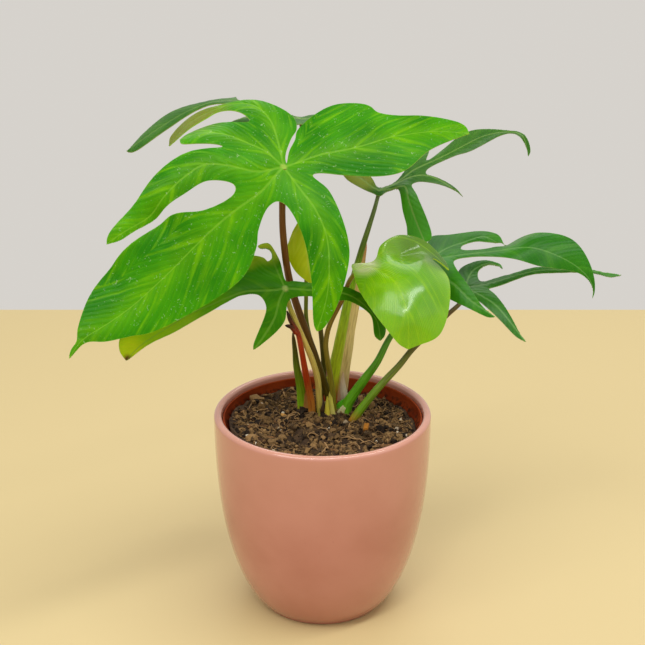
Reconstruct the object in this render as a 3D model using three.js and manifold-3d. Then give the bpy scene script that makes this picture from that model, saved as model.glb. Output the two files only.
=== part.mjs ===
// Potted philodendron: a glazed outer pot, a plastic nursery pot with soil, and a plant of eight lobed
// leaves on long petioles. Millimetres, Z up, origin at the middle of the outer pot's flat base.
import * as THREE from "three";
import { TessellateModifier } from "three/addons/modifiers/TessellateModifier.js";
import { mergeVertices } from "three/addons/utils/BufferGeometryUtils.js";
import Module from "manifold-3d";

// Driving dimensions
const GAP = 0.3; // clearance between pieces that touch
const POT_HEIGHT = 130;
const POT_RIM_RADIUS = 67.5;
const POT_FOOT_RADIUS = 38;
const POT_WALL = 5;
const POT_FLOOR = 8;
const POT_BULGE = [2.5, 1.5]; // exponents of the tulip curve from foot to rim
const NURSERY_HEIGHT = 105;
const NURSERY_WALL = 1.2;
const NURSERY_DROP = 3.5; // its rim sits this far below the outer rim
const NURSERY_LIP = 6; // height of the rolled rim band
const NURSERY_LIP_PROUD = 1.6;
const DRAIN_HOLES = 8;
const DRAIN_RADIUS = 4;
const DRAIN_RING = 30;
const SOIL_DROP = 11; // from the outer rim to the soil at the wall
const SOIL_MOUND = 6; // the soil rises this much towards the stems
const CROWN_RADIUS = 9;
const CROWN_PROUD = 4; // the crown stands this far out of the soil
const CROWN_DEPTH = 26; // and reaches this far into it
const CROWN_AT = [3, 14];
const BLADE_THICKNESS = 0.9;
const POT_STEPS = 11; // rings between the foot and the rim
const MARGIN_STEP = 4.5; // spacing of points along a leaf's margin
const BLADE_MESH = 16; // longest mesh edge inside a blade

// Each leaf lies on a sheet of its own. at is where the petiole joins, its height counted from the
// crest of the soil; aim points towards the longest lobe, and faces is the way the upper side looks. A
// point [a, b, h] is a across the leaf, b along aim and h above its plane. Each lobe has a rib from the
// junction to its tip, and the margin from that tip to the next one. swell points shape the sheet
// between the ribs.
const LEAVES = {
  front: {
    at: [-22, -20, 165],
    aim: [-115, -75, -86],
    faces: [-10, -62, 78],
    lobes: [
      {
        rib: [[-8, -22, -3], [-19, -43, -6], [-28, -60, -6], [-41, -75, -5], [-61, -88, -2]],
        edge: [[-50, -67], [-46, -48], [-14, -9], [-27, -9], [-57, 6], [-69, 27], [-70, 42]],
      },
      {
        rib: [
          [-17, 3, -4], [-30, 5, -8], [-43, 10, -14], [-54, 19, -21], [-63, 31, -33],
          [-68, 46, -48],
        ],
        edge: [
          [-65, 45], [-52, 32], [-35, 20], [-17, 15], [-12, 17], [-11, 23], [-16, 36], [-21, 43],
          [-27, 61], [-21, 118], [-15, 130], [-9, 142], [-3, 150],
        ],
      },
      {
        rib: [
          [-3, 19, 0], [-3, 44, 2], [-5, 76, 2], [-6, 106, -1], [-4, 133, -3], [-1, 152, -4],
          [-2, 162, -8],
        ],
        edge: [
          [0, 159], [1, 153], [5, 148], [14, 128], [15, 98], [13, 73], [5, 55], [3, 35], [5, 31],
          [7, 31], [14, 42], [15, 60], [18, 89], [19, 101],
        ],
      },
      {
        rib: [
          [5, 14, 5], [14, 25, 13], [21, 37, 20], [21, 51, 23], [19, 71, 22], [20, 93, 19],
          [22, 108, 18],
        ],
        edge: [[24, 105], [28, 79], [33, 49], [32, 38], [26, 20], [28, 21], [40, 37]],
      },
      {
        rib: [[11, 2, 6], [21, 6, 9], [33, 13, 14], [41, 23, 18], [45, 35, 20]],
        edge: [
          [49, 27], [45, 10], [34, -6], [44, -7], [57, 0], [58, 8], [61, 16], [66, 24],
        ],
      },
      {
        rib: [
          [14, -9, 2], [28, -16, 4], [43, -17, 4], [55, -10, 2], [64, 2, -2], [70, 16, -7],
          [72, 29, -14],
        ],
        edge: [
          [79, 22], [76, 7], [71, -1], [63, -7], [49, -20], [40, -25], [23, -29], [16, -25],
          [12, -17], [4, -5], [1, -3], [6, -10], [10, -18], [15, -25], [14, -51], [4, -64],
          [-2, -67], [-8, -67], [-29, -81], [-51, -90], [-57, -90],
        ],
      },
    ],
    swell: [
      [5, -37, -3], [-3, -57, -5], [-23, -71, -7], [17, -25, -2], [29, -26, 1], [-21, -24, -8],
      [-39, -45, -11], [-29, 70, -20], [-25, 89, -15], [16, 113, 9], [15, 77, 14], [-55, 8, -20],
      [-46, 25, -23],
    ],
  },
  low_left: {
    at: [-22, -17, 91],
    aim: [-90, -35, -31],
    faces: [-5, -62, 78],
    lobes: [
      {
        rib: [
          [-3, -8, -3], [-9, -21, -7], [-15, -34, -13], [-22, -41, -21], [-31, -44, -28],
          [-41, -41, -34],
        ],
        edge: [
          [-38, -39], [-27, -42], [-18, -33], [-15, -24], [-7, -9], [-6, 1], [-14, 8], [-17, 15],
        ],
      },
      {
        rib: [[-4, 6, -3], [-11, 13, -7], [-16, 22, -11], [-20, 32, -15]],
        edge: [[-18, 31], [-5, 15], [2, 16], [5, 26], [4, 36], [1, 69], [1, 85]],
      },
      {
        rib: [
          [3, 11, 2], [6, 23, 6], [6, 37, 8], [6, 55, 9], [4, 75, 8], [2, 92, 6], [-1, 102, 3],
        ],
        edge: [
          [2, 100], [9, 70], [11, 54], [19, 27], [28, 10], [24, 2], [21, 1], [22, -2], [26, -4],
          [29, -3],
        ],
      },
      {
        rib: [[10, -1, 0], [19, -2, 1], [28, -4, 2], [30, 1, 4]],
        edge: [
          [32, 2], [32, -5], [20, -6], [4, -3], [3, -7], [-7, -26], [-10, -34], [-18, -44],
          [-26, -46], [-34, -48], [-39, -45],
        ],
      },
    ],
    swell: [[24, 10, 4], [17, 17, 5], [15, 44, 9]],
  },
  lime: {
    at: [21, -11, 101],
    aim: [29, -33, -37],
    faces: [5, -72, 69],
    lobes: [
      {
        rib: [[-6, 3, 2], [-10, 12, 6], [-11, 23, 11], [-9, 34, 12], [-5, 46, 11], [1, 58, 0]],
        edge: [
          [-20, 59], [-45, 30], [-43, 14], [-21, -1], [-21, -3], [-30, -2], [-43, 7], [-49, 20],
        ],
      },
      {
        rib: [
          [-9, -2, -1], [-17, -2, 1], [-24, -7, -1], [-33, -8, -4], [-42, -2, -8], [-48, 9, -11],
          [-51, 23, -11],
        ],
        edge: [
          [-53, 17], [-49, 0], [-35, -9], [-20, -7], [-11, 0], [1, -5], [3, -1], [8, 17], [5, 52],
        ],
      },
    ],
    swell: [
      [-36, 22, 3], [-39, 35, 2], [-36, 44, 2], [-22, 55, 3], [-35, 12, 2], [-26, 5, 3],
      [7, 18, 5], [7, 35, 6], [-21, 39, 11],
    ],
  },
  right: {
    at: [67, 22, 96],
    aim: [95, -22, -14],
    faces: [15, -55, 82],
    lobes: [
      {
        rib: [[-12, 6, -1], [-22, 16, -1], [-30, 28, 1], [-28, 42, 2]],
        edge: [
          [-31, 39], [-26, 30], [-24, 22], [-19, 16], [-13, 16], [-16, 30], [-26, 40], [-31, 49],
          [-28, 59], [-24, 77], [-12, 92], [-1, 99],
        ],
      },
      {
        rib: [
          [-3, 8, 3], [-9, 25, 8], [-13, 44, 17], [-14, 60, 23], [-11, 74, 25], [-8, 87, 23],
          [-3, 96, 19], [2, 99, 13],
        ],
        edge: [[-1, 98], [-6, 89], [-5, 70], [-5, 46], [-5, 23], [1, 13], [26, 35]],
      },
      {
        rib: [[9, 7, 3], [18, 18, 5], [26, 30, 5], [31, 46, 4]],
        edge: [[32, 41], [24, 15], [7, -1], [-8, -4], [-24, -4], [-28, 5], [-37, 35]],
      },
    ],
    swell: [[-23, 53, 21], [-22, 70, 28], [19, 10, -2], [-7, 62, 20]],
  },
  far_right: {
    at: [90, 34, 74],
    aim: [96, -4, 9],
    faces: [5, -35, 93],
    lobes: [
      {
        rib: [[-8, 2, 0], [-16, 6, 1], [-20, 15, 4], [-17, 22, 5]],
        edge: [[-19, 18], [-19, 13], [-15, 9], [-5, 10], [-8, 25], [-10, 45]],
      },
      {
        rib: [
          [0, 9, 2], [-2, 19, 4], [-6, 31, 6], [-7, 44, 10], [-4, 58, 14], [2, 76, 19],
          [8, 93, 22],
        ],
        edge: [[8, 87], [3, 76], [-5, 40], [2, 19], [4, 14], [10, 17], [35, 31]],
      },
      {
        rib: [[10, 7, 3], [19, 16, 3], [30, 25, -1], [40, 35, -8]],
        edge: [[37, 28], [14, 6], [5, 1], [-4, -4], [-19, -2], [-24, 11], [-18, 23], [-14, 24]],
      },
    ],
    swell: [],
  },
  top_right: {
    at: [35, 40, 135],
    aim: [93, 20, 23],
    faces: [5, -50, 86],
    lobes: [
      {
        rib: [[5, 14, 5], [14, 14, 2], [25, 15, -4], [39, 17, -11]],
        edge: [[37, 22], [13, 20], [5, 19], [3, 24], [14, 44]],
      },
      {
        rib: [[-1, 29, 5], [7, 38, 5], [19, 48, 1]],
        edge: [
          [13, 45], [2, 35], [-2, 31], [-5, 33], [-8, 51], [-7, 61], [-9, 83], [-6, 89], [4, 94],
        ],
      },
      {
        rib: [
          [-2, 12, 2], [-7, 25, 5], [-10, 40, 7], [-12, 57, 12], [-13, 72, 17], [-9, 86, 21],
          [-2, 93, 22], [8, 94, 14],
        ],
        edge: [[6, 96], [-3, 94], [-21, 68], [-21, 58], [-12, 35], [-19, 39]],
      },
      {
        rib: [[-17, 31, 5], [-27, 43, 5]],
        edge: [[-26, 38], [-4, 12], [-3, 1], [-12, -1], [-22, -7], [-27, -15]],
      },
      {
        rib: [[-5, -3, -1], [-13, -8, 0], [-22, -18, 1]],
        edge: [[-14, -16], [0, -4], [4, -1], [2, 5], [3, 10], [19, 9], [27, 9], [34, 8], [38, 11]],
      },
    ],
    swell: [],
  },
  top_left: {
    at: [-13, 38, 180],
    aim: [-107, 4, -21],
    faces: [-25, -30, 92],
    lobes: [
      {
        rib: [
          [8, 11, 6], [15, 24, 11], [18, 37, 13], [19, 53, 15], [16, 70, 14], [11, 86, 11],
          [5, 100, 8], [1, 109, 6],
        ],
        edge: [[13, 99], [23, 85], [26, 71], [25, 57], [27, 46]],
      },
      {
        rib: [[24, 23, 7], [30, 34, 8], [30, 39, 9]],
        edge: [[19, 36], [10, 27], [3, 2], [4, -7], [-7, -27]],
      },
      {
        rib: [[-2, -10, 0], [-6, -23, -3], [-13, -32, -9]],
        edge: [[-16, -23], [-12, -6], [-9, -1], [-15, 8], [-19, 18], [-15, 36]],
      },
      {
        rib: [[-2, 15, 10], [-6, 27, 13], [-8, 36, 14], [-8, 45, 13]],
        edge: [[-7, 36], [-1, 24], [16, 50], [-2, 104]],
      },
    ],
    swell: [],
  },
  inner_lime: {
    at: [-12, 10, 124],
    aim: [8, -7, -39],
    faces: [-25, -80, 55],
    lobes: [
      {
        rib: [[3, 5, 2], [11, 12, -2]],
        edge: [[12, 18], [9, 28]],
      },
      {
        rib: [[0, 9, 0], [0, 18, -3], [1, 28, -9], [0, 37, -17]],
        edge: [[-8, 26]],
      },
      {
        rib: [[-6, 5, -2], [-10, 10, -9]],
        edge: [[-9, 4], [0, -2], [5, 4]],
      },
    ],
    swell: [],
  },
};

// Stems run from their top down into the soil, their heights counted from the crest of the soil. radius
// is at the top and at the foot, flat is the depth of the section as a share of its width. A stem with a
// leaf starts at that leaf's junction.
const STEMS = {
  front_petiole: {
    leaf: "front",
    route: [[-23, -19, 144], [-23, -13, 124], [-20, 0, 91], [-15, 3, 71], [-9, 6, 52],
      [-4, 9, 35], [0, 12, 21], [5, 15, 3], [6, 15, -11]],
    radius: [1.8, 2.6],
    colour: "#4d2f14",
  },
  low_left_petiole: {
    leaf: "low_left",
    route: [[-20, -14, 80], [-15, -8, 64], [-10, -4, 50], [-6, 1, 37], [-3, 6, 23],
      [-2, 9, 6], [-1, 9, -11]],
    radius: [1.4, 2],
    colour: "#a9a53c",
  },
  inner_petiole: {
    leaf: "inner_lime",
    route: [[-10, 11, 101], [-10, 10, 77], [-10, 9, 63], [-8, 11, 50], [-5, 15, 38],
      [-3, 20, 23], [-2, 22, 3], [-2, 22, -11]],
    radius: [1, 1.7],
    colour: "#5d6f14",
  },
  lime_petiole: {
    leaf: "lime",
    route: [[16, -4, 91], [12, 0, 78], [8, 2, 69], [5, 3, 62], [3, 4, 55], [2, 4, 47],
      [3, 5, 37], [5, 8, 23], [7, 9, 6], [7, 9, -11]],
    radius: [1.3, 1.9],
    colour: "#5a4a12",
  },
  right_petiole: {
    leaf: "right",
    route: [[63, 19, 77], [53, 14, 63], [42, 10, 50], [34, 8, 34], [27, 9, 23],
      [21, 11, 13], [16, 12, 4], [14, 12, -3], [13, 12, -11]],
    radius: [1.5, 3],
    colour: "#3f8a1a",
  },
  far_right_petiole: {
    leaf: "far_right",
    route: [[88, 30, 67], [78, 24, 59], [67, 17, 50], [56, 12, 41], [48, 8, 32],
      [37, 4, 21], [26, 3, 7], [19, 3, -4], [15, 3, -13]],
    radius: [1.4, 2.2],
    colour: "#5c6e16",
  },
  top_right_petiole: {
    leaf: "top_right",
    route: [[32, 36, 124], [29, 33, 115], [24, 28, 100], [20, 24, 86], [16, 20, 71],
      [13, 18, 55], [10, 19, 38], [7, 21, 20], [5, 23, 1], [5, 23, -11]],
    radius: [1.1, 4.2],
    colour: "#7c9a12",
  },
  top_left_petiole: {
    leaf: "top_left",
    route: [[-12, 36, 161], [-11, 33, 143], [-8, 29, 107], [-4, 28, 75], [-2, 28, 55],
      [0, 28, 35], [1, 29, 17], [1, 30, -2], [1, 30, -11]],
    radius: [1.2, 1.7],
    colour: "#5a4a1c",
  },
  old_red_stalk: {
    route: [[-21, -15, 76], [-19, -13, 69], [-15, -11, 61], [-13, -8, 50], [-11, -3, 35],
      [-9, 3, 20], [-7, 7, 6], [-6, 8, -9]],
    radius: [1.1, 2],
    colour: "#7a2a08",
    spur: { route: [[-22, -18, 68], [-19, -15, 66], [-16, -12, 61]], radius: [1, 1.2] },
  },
  green_sheath: {
    route: [[-18, -4, 58], [-17, 0, 46], [-16, 5, 32], [-14, 10, 18], [-13, 14, 6],
      [-12, 16, -9]],
    radius: [0.8, 2.6],
    flat: 0.7,
    colour: "#557a12",
  },
  tan_sheath: {
    route: [[27, 37, 104], [25, 35, 92], [23, 32, 78], [21, 29, 66], [18, 27, 50],
      [16, 26, 35], [14, 26, 21], [12, 27, 2], [12, 27, -9]],
    radius: [1.2, 3.2],
    flat: 0.35,
    colour: "#c49a5c",
  },
  pale_scale: {
    route: [[13, 18, 23], [13, 18, 14], [14, 18, 5], [14, 19, -8]],
    radius: [0.8, 2.6],
    flat: 0.6,
    colour: "#dcc0a8",
  },
  new_bud: {
    route: [[3, 5, 12], [3, 4, 6], [3, 3, -3], [3, 3, -11]],
    radius: [0.7, 2.4],
    colour: "#b9b23a",
  },
  side_bud: {
    route: [[-2, 3, 5], [-2, 1, -1], [-2, 0, -11]],
    radius: [0.7, 1.5],
    colour: "#8a7a20",
  },
};

const COLOURS = {
  outer_pot: ["#c1826f", 0.15],
  nursery_pot: ["#7e2a0c", 0.45],
  soil: ["#2e2118", 1],
  crown: ["#6b5a20", 0.8],
  front: ["#4fa70f", 0.35],
  low_left: ["#2f7a10", 0.35],
  lime: ["#94c800", 0.25],
  right: ["#3f8a3a", 0.4],
  far_right: ["#3f8540", 0.4],
  top_right: ["#4a7d3c", 0.4],
  top_left: ["#3f7f22", 0.4],
  inner_lime: ["#9db500", 0.35],
};

const wasm = await Module();
wasm.setup();

// A geometry as a manifold-3d solid, its vertices merged on position only.
function solid(geometry) {
  const bare = new THREE.BufferGeometry();
  bare.setAttribute("position", geometry.getAttribute("position"));
  bare.setIndex(geometry.index);
  const merged = mergeVertices(bare, 1e-3);
  const triVerts = new Uint32Array(merged.index.array);
  const vertProperties = merged.attributes.position.array;
  return new wasm.Manifold(new wasm.Mesh({ numProp: 3, vertProperties, triVerts }));
}

// A manifold-3d solid as a named mesh.
function mesh(name, body, [colour, roughness]) {
  const made = body.getMesh();
  const geometry = new THREE.BufferGeometry();
  geometry.setAttribute("position", new THREE.BufferAttribute(made.vertProperties, 3));
  geometry.setIndex(new THREE.BufferAttribute(made.triVerts, 1));
  geometry.computeVertexNormals();
  const material = new THREE.MeshStandardMaterial({ color: colour, roughness, metalness: 0 });
  const out = new THREE.Mesh(geometry, material);
  out.name = name;
  return out;
}

// A profile of [radius, height] points turned about the Z axis.
function turned(profile, segments) {
  const points = profile.map(([r, z]) => new THREE.Vector2(r, z));
  return new THREE.LatheGeometry(points, segments).rotateX(Math.PI / 2);
}

// Points of an arc in a profile, from one angle to another in quarter turns.
function arc(r, z, radius, from, to, steps) {
  return Array.from({ length: steps + 1 }, (_, i) => {
    const angle = ((from + ((to - from) * i) / steps) * Math.PI) / 2;
    return [r + radius * Math.cos(angle), z + radius * Math.sin(angle)];
  });
}

// Outer radius of the glazed pot at a height.
function potRadius(z) {
  const down = Math.max(0, 1 - z / POT_HEIGHT);
  const swell = (1 - down ** POT_BULGE[0]) ** (1 / POT_BULGE[1]);
  return POT_FOOT_RADIUS + (POT_RIM_RADIUS - POT_FOOT_RADIUS) * swell;
}

function outerPot() {
  const lip = POT_WALL / 2;
  const top = POT_HEIGHT - lip;
  const outside = Array.from({ length: POT_STEPS }, (_, i) => (top * i) / POT_STEPS);
  const inside = outside.map((z) => POT_FLOOR + ((top - POT_FLOOR) * z) / top).reverse();
  const profile = [
    [0, 0],
    ...outside.map((z) => [potRadius(z), z]),
    ...arc(POT_RIM_RADIUS - lip, top, lip, 0, 2, 6),
    ...inside.map((z) => [potRadius(z) - POT_WALL, z]),
    [0, POT_FLOOR],
  ];
  return solid(turned(profile, 56));
}

// The nursery pot stands on the narrowing wall of the outer pot.
const nurseryTop = POT_HEIGHT - NURSERY_DROP;
const nurseryFloor = nurseryTop - NURSERY_HEIGHT;
const nurseryFootRadius = potRadius(nurseryFloor) - POT_WALL - GAP;
const nurseryRimRadius = potRadius(nurseryTop) - POT_WALL - GAP;

// Inner radius of the nursery pot at a height.
function nurseryRadius(z) {
  const share = (z - nurseryFloor) / NURSERY_HEIGHT;
  const wide = nurseryRimRadius - NURSERY_LIP_PROUD;
  return nurseryFootRadius + (wide - nurseryFootRadius) * share - NURSERY_WALL;
}

function nurseryPot() {
  const rim = nurseryRimRadius;
  const band = nurseryTop - NURSERY_LIP;
  const inner = nurseryFloor + NURSERY_WALL;
  const body = solid(
    turned(
      [
        [0, nurseryFloor],
        [nurseryFootRadius, nurseryFloor],
        [nurseryRadius(band) + NURSERY_WALL, band],
        [rim, band],
        ...arc(rim - NURSERY_WALL / 2, nurseryTop - NURSERY_WALL / 2, NURSERY_WALL / 2, 0, 2, 4),
        [nurseryRadius(band), band - NURSERY_WALL],
        [nurseryRadius(inner), inner],
        [0, inner],
      ],
      48,
    ),
  );
  return Array.from({ length: DRAIN_HOLES }).reduce((left, _, i) => {
    const drill = new THREE.CylinderGeometry(DRAIN_RADIUS, DRAIN_RADIUS, 3 * NURSERY_WALL, 16);
    const angle = (i * 2 * Math.PI) / DRAIN_HOLES;
    drill.rotateX(Math.PI / 2);
    drill.translate(DRAIN_RING * Math.cos(angle), DRAIN_RING * Math.sin(angle), inner);
    return left.subtract(solid(drill));
  }, body);
}

// The plant stands on the crest of the soil.
const soilEdge = POT_HEIGHT - SOIL_DROP;
const ground = soilEdge + SOIL_MOUND;

function soilBody() {
  const foot = nurseryFloor + NURSERY_WALL + GAP;
  const reach = nurseryRadius(soilEdge) - GAP;
  const crest = Array.from({ length: 8 }, (_, i) => {
    const r = reach * (1 - i / 8);
    return [r, soilEdge + SOIL_MOUND * Math.cos((r / reach) * (Math.PI / 2)) ** 2];
  });
  const profile = [
    [0, foot],
    [nurseryRadius(foot) - GAP, foot],
    ...crest,
    [0, ground],
  ];
  return solid(turned(profile, 48));
}

function crownBody(grow) {
  const r = CROWN_RADIUS + grow;
  const top = ground + CROWN_PROUD + grow;
  const low = ground - CROWN_DEPTH - grow;
  const profile = [
    [0, low],
    [r * 0.6, low],
    [r, low + 8],
    ...arc(r - 4, top - 4, 4, 0, 1, 4),
    [0, top],
  ];
  return solid(turned(profile, 24).translate(CROWN_AT[0], CROWN_AT[1], 0));
}

// Thin plate spline through [a, b, h] points: the sheet a leaf lies on.
function sheetThrough(points) {
  const bend = (x, y) => {
    const square = x * x + y * y;
    return square > 0 ? square * Math.log(square) : 0;
  };
  const n = points.length;
  const rows = points.map(([a, b, h]) => [
    ...points.map(([c, d]) => bend(a - c, b - d)),
    1,
    a,
    b,
    h,
  ]);
  rows.push([...points.map(() => 1), 0, 0, 0, 0]);
  rows.push([...points.map(([a]) => a), 0, 0, 0, 0]);
  rows.push([...points.map(([, b]) => b), 0, 0, 0, 0]);
  const weights = solveRows(rows);
  return (a, b) => {
    const flat = weights[n] + weights[n + 1] * a + weights[n + 2] * b;
    return points.reduce((sum, [c, d], i) => sum + weights[i] * bend(a - c, b - d), flat);
  };
}

// Gaussian elimination on rows whose last entry is the right-hand side.
function solveRows(rows) {
  const n = rows.length;
  for (let i = 0; i < n; i++) {
    let best = i;
    for (let j = i + 1; j < n; j++) if (Math.abs(rows[j][i]) > Math.abs(rows[best][i])) best = j;
    [rows[i], rows[best]] = [rows[best], rows[i]];
    for (let j = 0; j < n; j++) {
      if (j === i) continue;
      const factor = rows[j][i] / rows[i][i];
      for (let k = i; k <= n; k++) rows[j][k] -= factor * rows[i][k];
    }
  }
  return rows.map((row, i) => row[n] / row[i]);
}

// A point of the plant, its height counted from the crest of the soil.
function aboveGround([x, y, z]) {
  return new THREE.Vector3(x, y, ground + z);
}

// The sheet of a leaf in space, as a function of (a, b, off), off being the way from the blade's middle.
function leafSheet(leaf) {
  const origin = aboveGround(leaf.at);
  const normal = new THREE.Vector3(...leaf.faces).normalize();
  const along = new THREE.Vector3(...leaf.aim);
  along.addScaledVector(normal, -along.dot(normal)).normalize();
  const across = new THREE.Vector3().crossVectors(along, normal);
  const height = sheetThrough([[0, 0, 0], ...leaf.lobes.flatMap((lobe) => lobe.rib), ...leaf.swell]);
  return (a, b, off) => {
    const slopeA = height(a + 0.5, b) - height(a - 0.5, b);
    const slopeB = height(a, b + 0.5) - height(a, b - 0.5);
    const tilt = new THREE.Vector3(-slopeA, -slopeB, 1).normalize().multiplyScalar(off);
    return origin
      .clone()
      .addScaledVector(across, a + tilt.x)
      .addScaledVector(along, b + tilt.y)
      .addScaledVector(normal, height(a, b) + tilt.z);
  };
}

// The margin of a leaf as one closed row of points, sharp at each tip.
function marginPoints(leaf) {
  const tips = leaf.lobes.map((lobe) => lobe.rib[lobe.rib.length - 1]);
  return leaf.lobes.flatMap((lobe, i) => {
    const stretch = [tips[i], ...lobe.edge, tips[(i + 1) % tips.length]];
    const curve = new THREE.CatmullRomCurve3(stretch.map(([a, b]) => new THREE.Vector3(a, b, 0)));
    const count = Math.max(3, Math.round(curve.getLength() / MARGIN_STEP));
    return curve.getSpacedPoints(count).slice(0, -1).map((p) => new THREE.Vector2(p.x, p.y));
  });
}

// A blade between two offsets from the middle of its sheet.
function bladeBody(leaf, below, above) {
  const shape = new THREE.Shape(marginPoints(leaf));
  const slab = new THREE.ExtrudeGeometry(shape, { depth: 1, bevelEnabled: false });
  const fine = new TessellateModifier(BLADE_MESH, 8).modify(slab);
  const place = leafSheet(leaf);
  const position = fine.getAttribute("position");
  for (let i = 0; i < position.count; i++) {
    const off = position.getZ(i) > 0.5 ? above : -below;
    const p = place(position.getX(i), position.getY(i), off);
    position.setXYZ(i, p.x, p.y, p.z);
  }
  return solid(fine);
}

// A tapering stem along a route. Its width lies as near to the X axis as the route lets it.
function stemBody(stem, grow) {
  const start = stem.leaf ? [LEAVES[stem.leaf].at] : [];
  const points = [...start, ...stem.route].map(aboveGround);
  const curve = new THREE.CatmullRomCurve3(points);
  const steps = Math.max(4, Math.round(curve.getLength() / 9));
  const rod = new THREE.CylinderGeometry(1, 1, 1, 12, steps);
  const position = rod.getAttribute("position");
  const [top, foot] = stem.radius;
  for (let i = 0; i < position.count; i++) {
    const t = 0.5 - position.getY(i);
    const tangent = curve.getTangentAt(t);
    const wide = new THREE.Vector3(1, 0, 0).addScaledVector(tangent, -tangent.x).normalize();
    const deep = new THREE.Vector3().crossVectors(tangent, wide);
    const radius = top + (foot - top) * t;
    const p = curve.getPointAt(t);
    p.addScaledVector(wide, position.getX(i) * (radius + grow));
    p.addScaledVector(deep, position.getZ(i) * (radius * (stem.flat ?? 1) + grow));
    position.setXYZ(i, p.x, p.y, p.z);
  }
  return solid(rod);
}

const group = new THREE.Group();
group.name = "potted_philodendron";

// Each petiole stops just under its blade.
const stems = Object.entries(STEMS).map(([name, stem]) => {
  let body = stemBody(stem, 0);
  if (stem.spur) body = body.add(stemBody(stem.spur, 0));
  if (stem.leaf) body = body.subtract(bladeBody(LEAVES[stem.leaf], BLADE_THICKNESS / 2 + GAP, 6));
  return [name, stem, body];
});

// The crown and the soil hold a socket for each stem.
let crown = crownBody(0);
let soil = soilBody().subtract(crownBody(GAP));
for (const [, stem] of stems) {
  const socket = stemBody(stem, GAP);
  crown = crown.subtract(socket);
  soil = soil.subtract(socket);
}

group.add(mesh("outer_pot", outerPot(), COLOURS.outer_pot));
group.add(mesh("nursery_pot", nurseryPot(), COLOURS.nursery_pot));
group.add(mesh("soil", soil, COLOURS.soil));
group.add(mesh("crown", crown, COLOURS.crown));
for (const [name, stem, body] of stems) group.add(mesh(name, body, [stem.colour, 0.55]));
for (const [name, leaf] of Object.entries(LEAVES)) {
  const body = bladeBody(leaf, BLADE_THICKNESS / 2, BLADE_THICKNESS / 2);
  group.add(mesh(name + "_leaf", body, COLOURS[name]));
}

export default group;
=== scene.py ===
import math
import random

import bmesh
import bpy
import numpy as np
from mathutils import Matrix, Vector, noise


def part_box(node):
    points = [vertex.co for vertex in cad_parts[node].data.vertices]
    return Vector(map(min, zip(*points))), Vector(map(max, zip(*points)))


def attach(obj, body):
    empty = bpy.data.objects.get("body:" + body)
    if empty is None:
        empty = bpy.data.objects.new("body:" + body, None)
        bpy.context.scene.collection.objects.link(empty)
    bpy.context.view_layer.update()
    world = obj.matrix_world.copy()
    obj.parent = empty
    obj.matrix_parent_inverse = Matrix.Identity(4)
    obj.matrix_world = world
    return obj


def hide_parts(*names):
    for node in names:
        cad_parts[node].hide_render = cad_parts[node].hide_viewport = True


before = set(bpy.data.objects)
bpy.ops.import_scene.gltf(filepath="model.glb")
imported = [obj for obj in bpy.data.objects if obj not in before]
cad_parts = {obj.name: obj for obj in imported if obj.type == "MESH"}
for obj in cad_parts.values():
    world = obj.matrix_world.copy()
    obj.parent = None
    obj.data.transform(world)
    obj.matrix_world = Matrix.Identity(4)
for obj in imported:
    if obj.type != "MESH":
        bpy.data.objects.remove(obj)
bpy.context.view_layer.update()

# A potted philodendron. Blender works in metres; the tables and sizes below are in millimetres.
MM = 0.001
_, soil_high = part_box("soil")
_, pot_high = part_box("outer_pot")
nursery_low, nursery_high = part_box("nursery_pot")
GROUND = soil_high.z / MM  # height of the soil's crest, from which the plant is measured

POT_HEIGHT = pot_high.z / MM
POT_RIM_RADIUS = pot_high.x / MM
POT_FOOT_RADIUS = 38
POT_FOOT_EDGE = 1.2  # radius of the foot's rounded edge
POT_WALL = 5
POT_FLOOR = 8
POT_BULGE = (2.5, 1.5)  # exponents of the tulip curve from foot to rim
POT_RINGS = 44  # rings up each side of the wall
POT_SIDES = 160
NURSERY_LOW = nursery_low.z / MM
NURSERY_HIGH = nursery_high.z / MM
NURSERY_WALL = 1.2
NURSERY_LIP = 6  # height of the band round the rim
NURSERY_LIP_PROUD = 1.6  # how far the band stands out
NURSERY_SIDES = 128
DRAIN_HOLES = 8
DRAIN_RADIUS = 4
DRAIN_RING = 30  # radius of the ring that the holes lie on
GAP = 0.3  # clearance between the pots and between the soil and its pot

SOIL_EDGE = GROUND - 6
SOIL_RINGS = 64
SOIL_SIDES = 200
BANK_WAY = -135  # degrees round from +X to where the soil is banked highest
BANK_RISE = 6.5
FIBRE_STATIONS = 8  # stretches in one coir fibre
FIBRE_SIDES = 5
AMBER_CHIPS = {41: ((-24, 8), 4.5), 42: ((27, -11), 6.5), 43: ((7, -9), 5), 44: ((19, -31), 3)}

STEM_SIDES = 18
TIP_GIRTH = (0.35, 0.7, 0.92)  # share of its girth at the first stations of a free stem tip
JOINT_SWELL = 0.25  # how much a petiole thickens where it meets its leaf
JOINT_LENGTH = 2.5

BLADE_THICKNESS = 0.5
MARGIN_STEP = 1.2  # spacing of the points round a leaf's margin
BLADE_CELL = 1.0  # size of the cells that a blade is cut into
FOLD_REACH = 6  # the fold along a rib dies out over this distance
WAVE_LENGTH = 22  # size of the slow waves in a blade
VEIN_LEAN = 1.25  # how far forwards a raised side vein runs for each millimetre off its rib
VEIN_CURVE = 0.015  # how much more it leans with each millimetre
GROOVE_DEPTH = 0.35  # a rib from above is a groove
GROOVE_WIDTH = 0.8
RIB_PROUD = 0.9  # and from below it stands out
RIB_TAPER = 45  # a rib has lost half its girth this far from the junction

# ---------------------------------------------------------------- the plant's measurements

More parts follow.
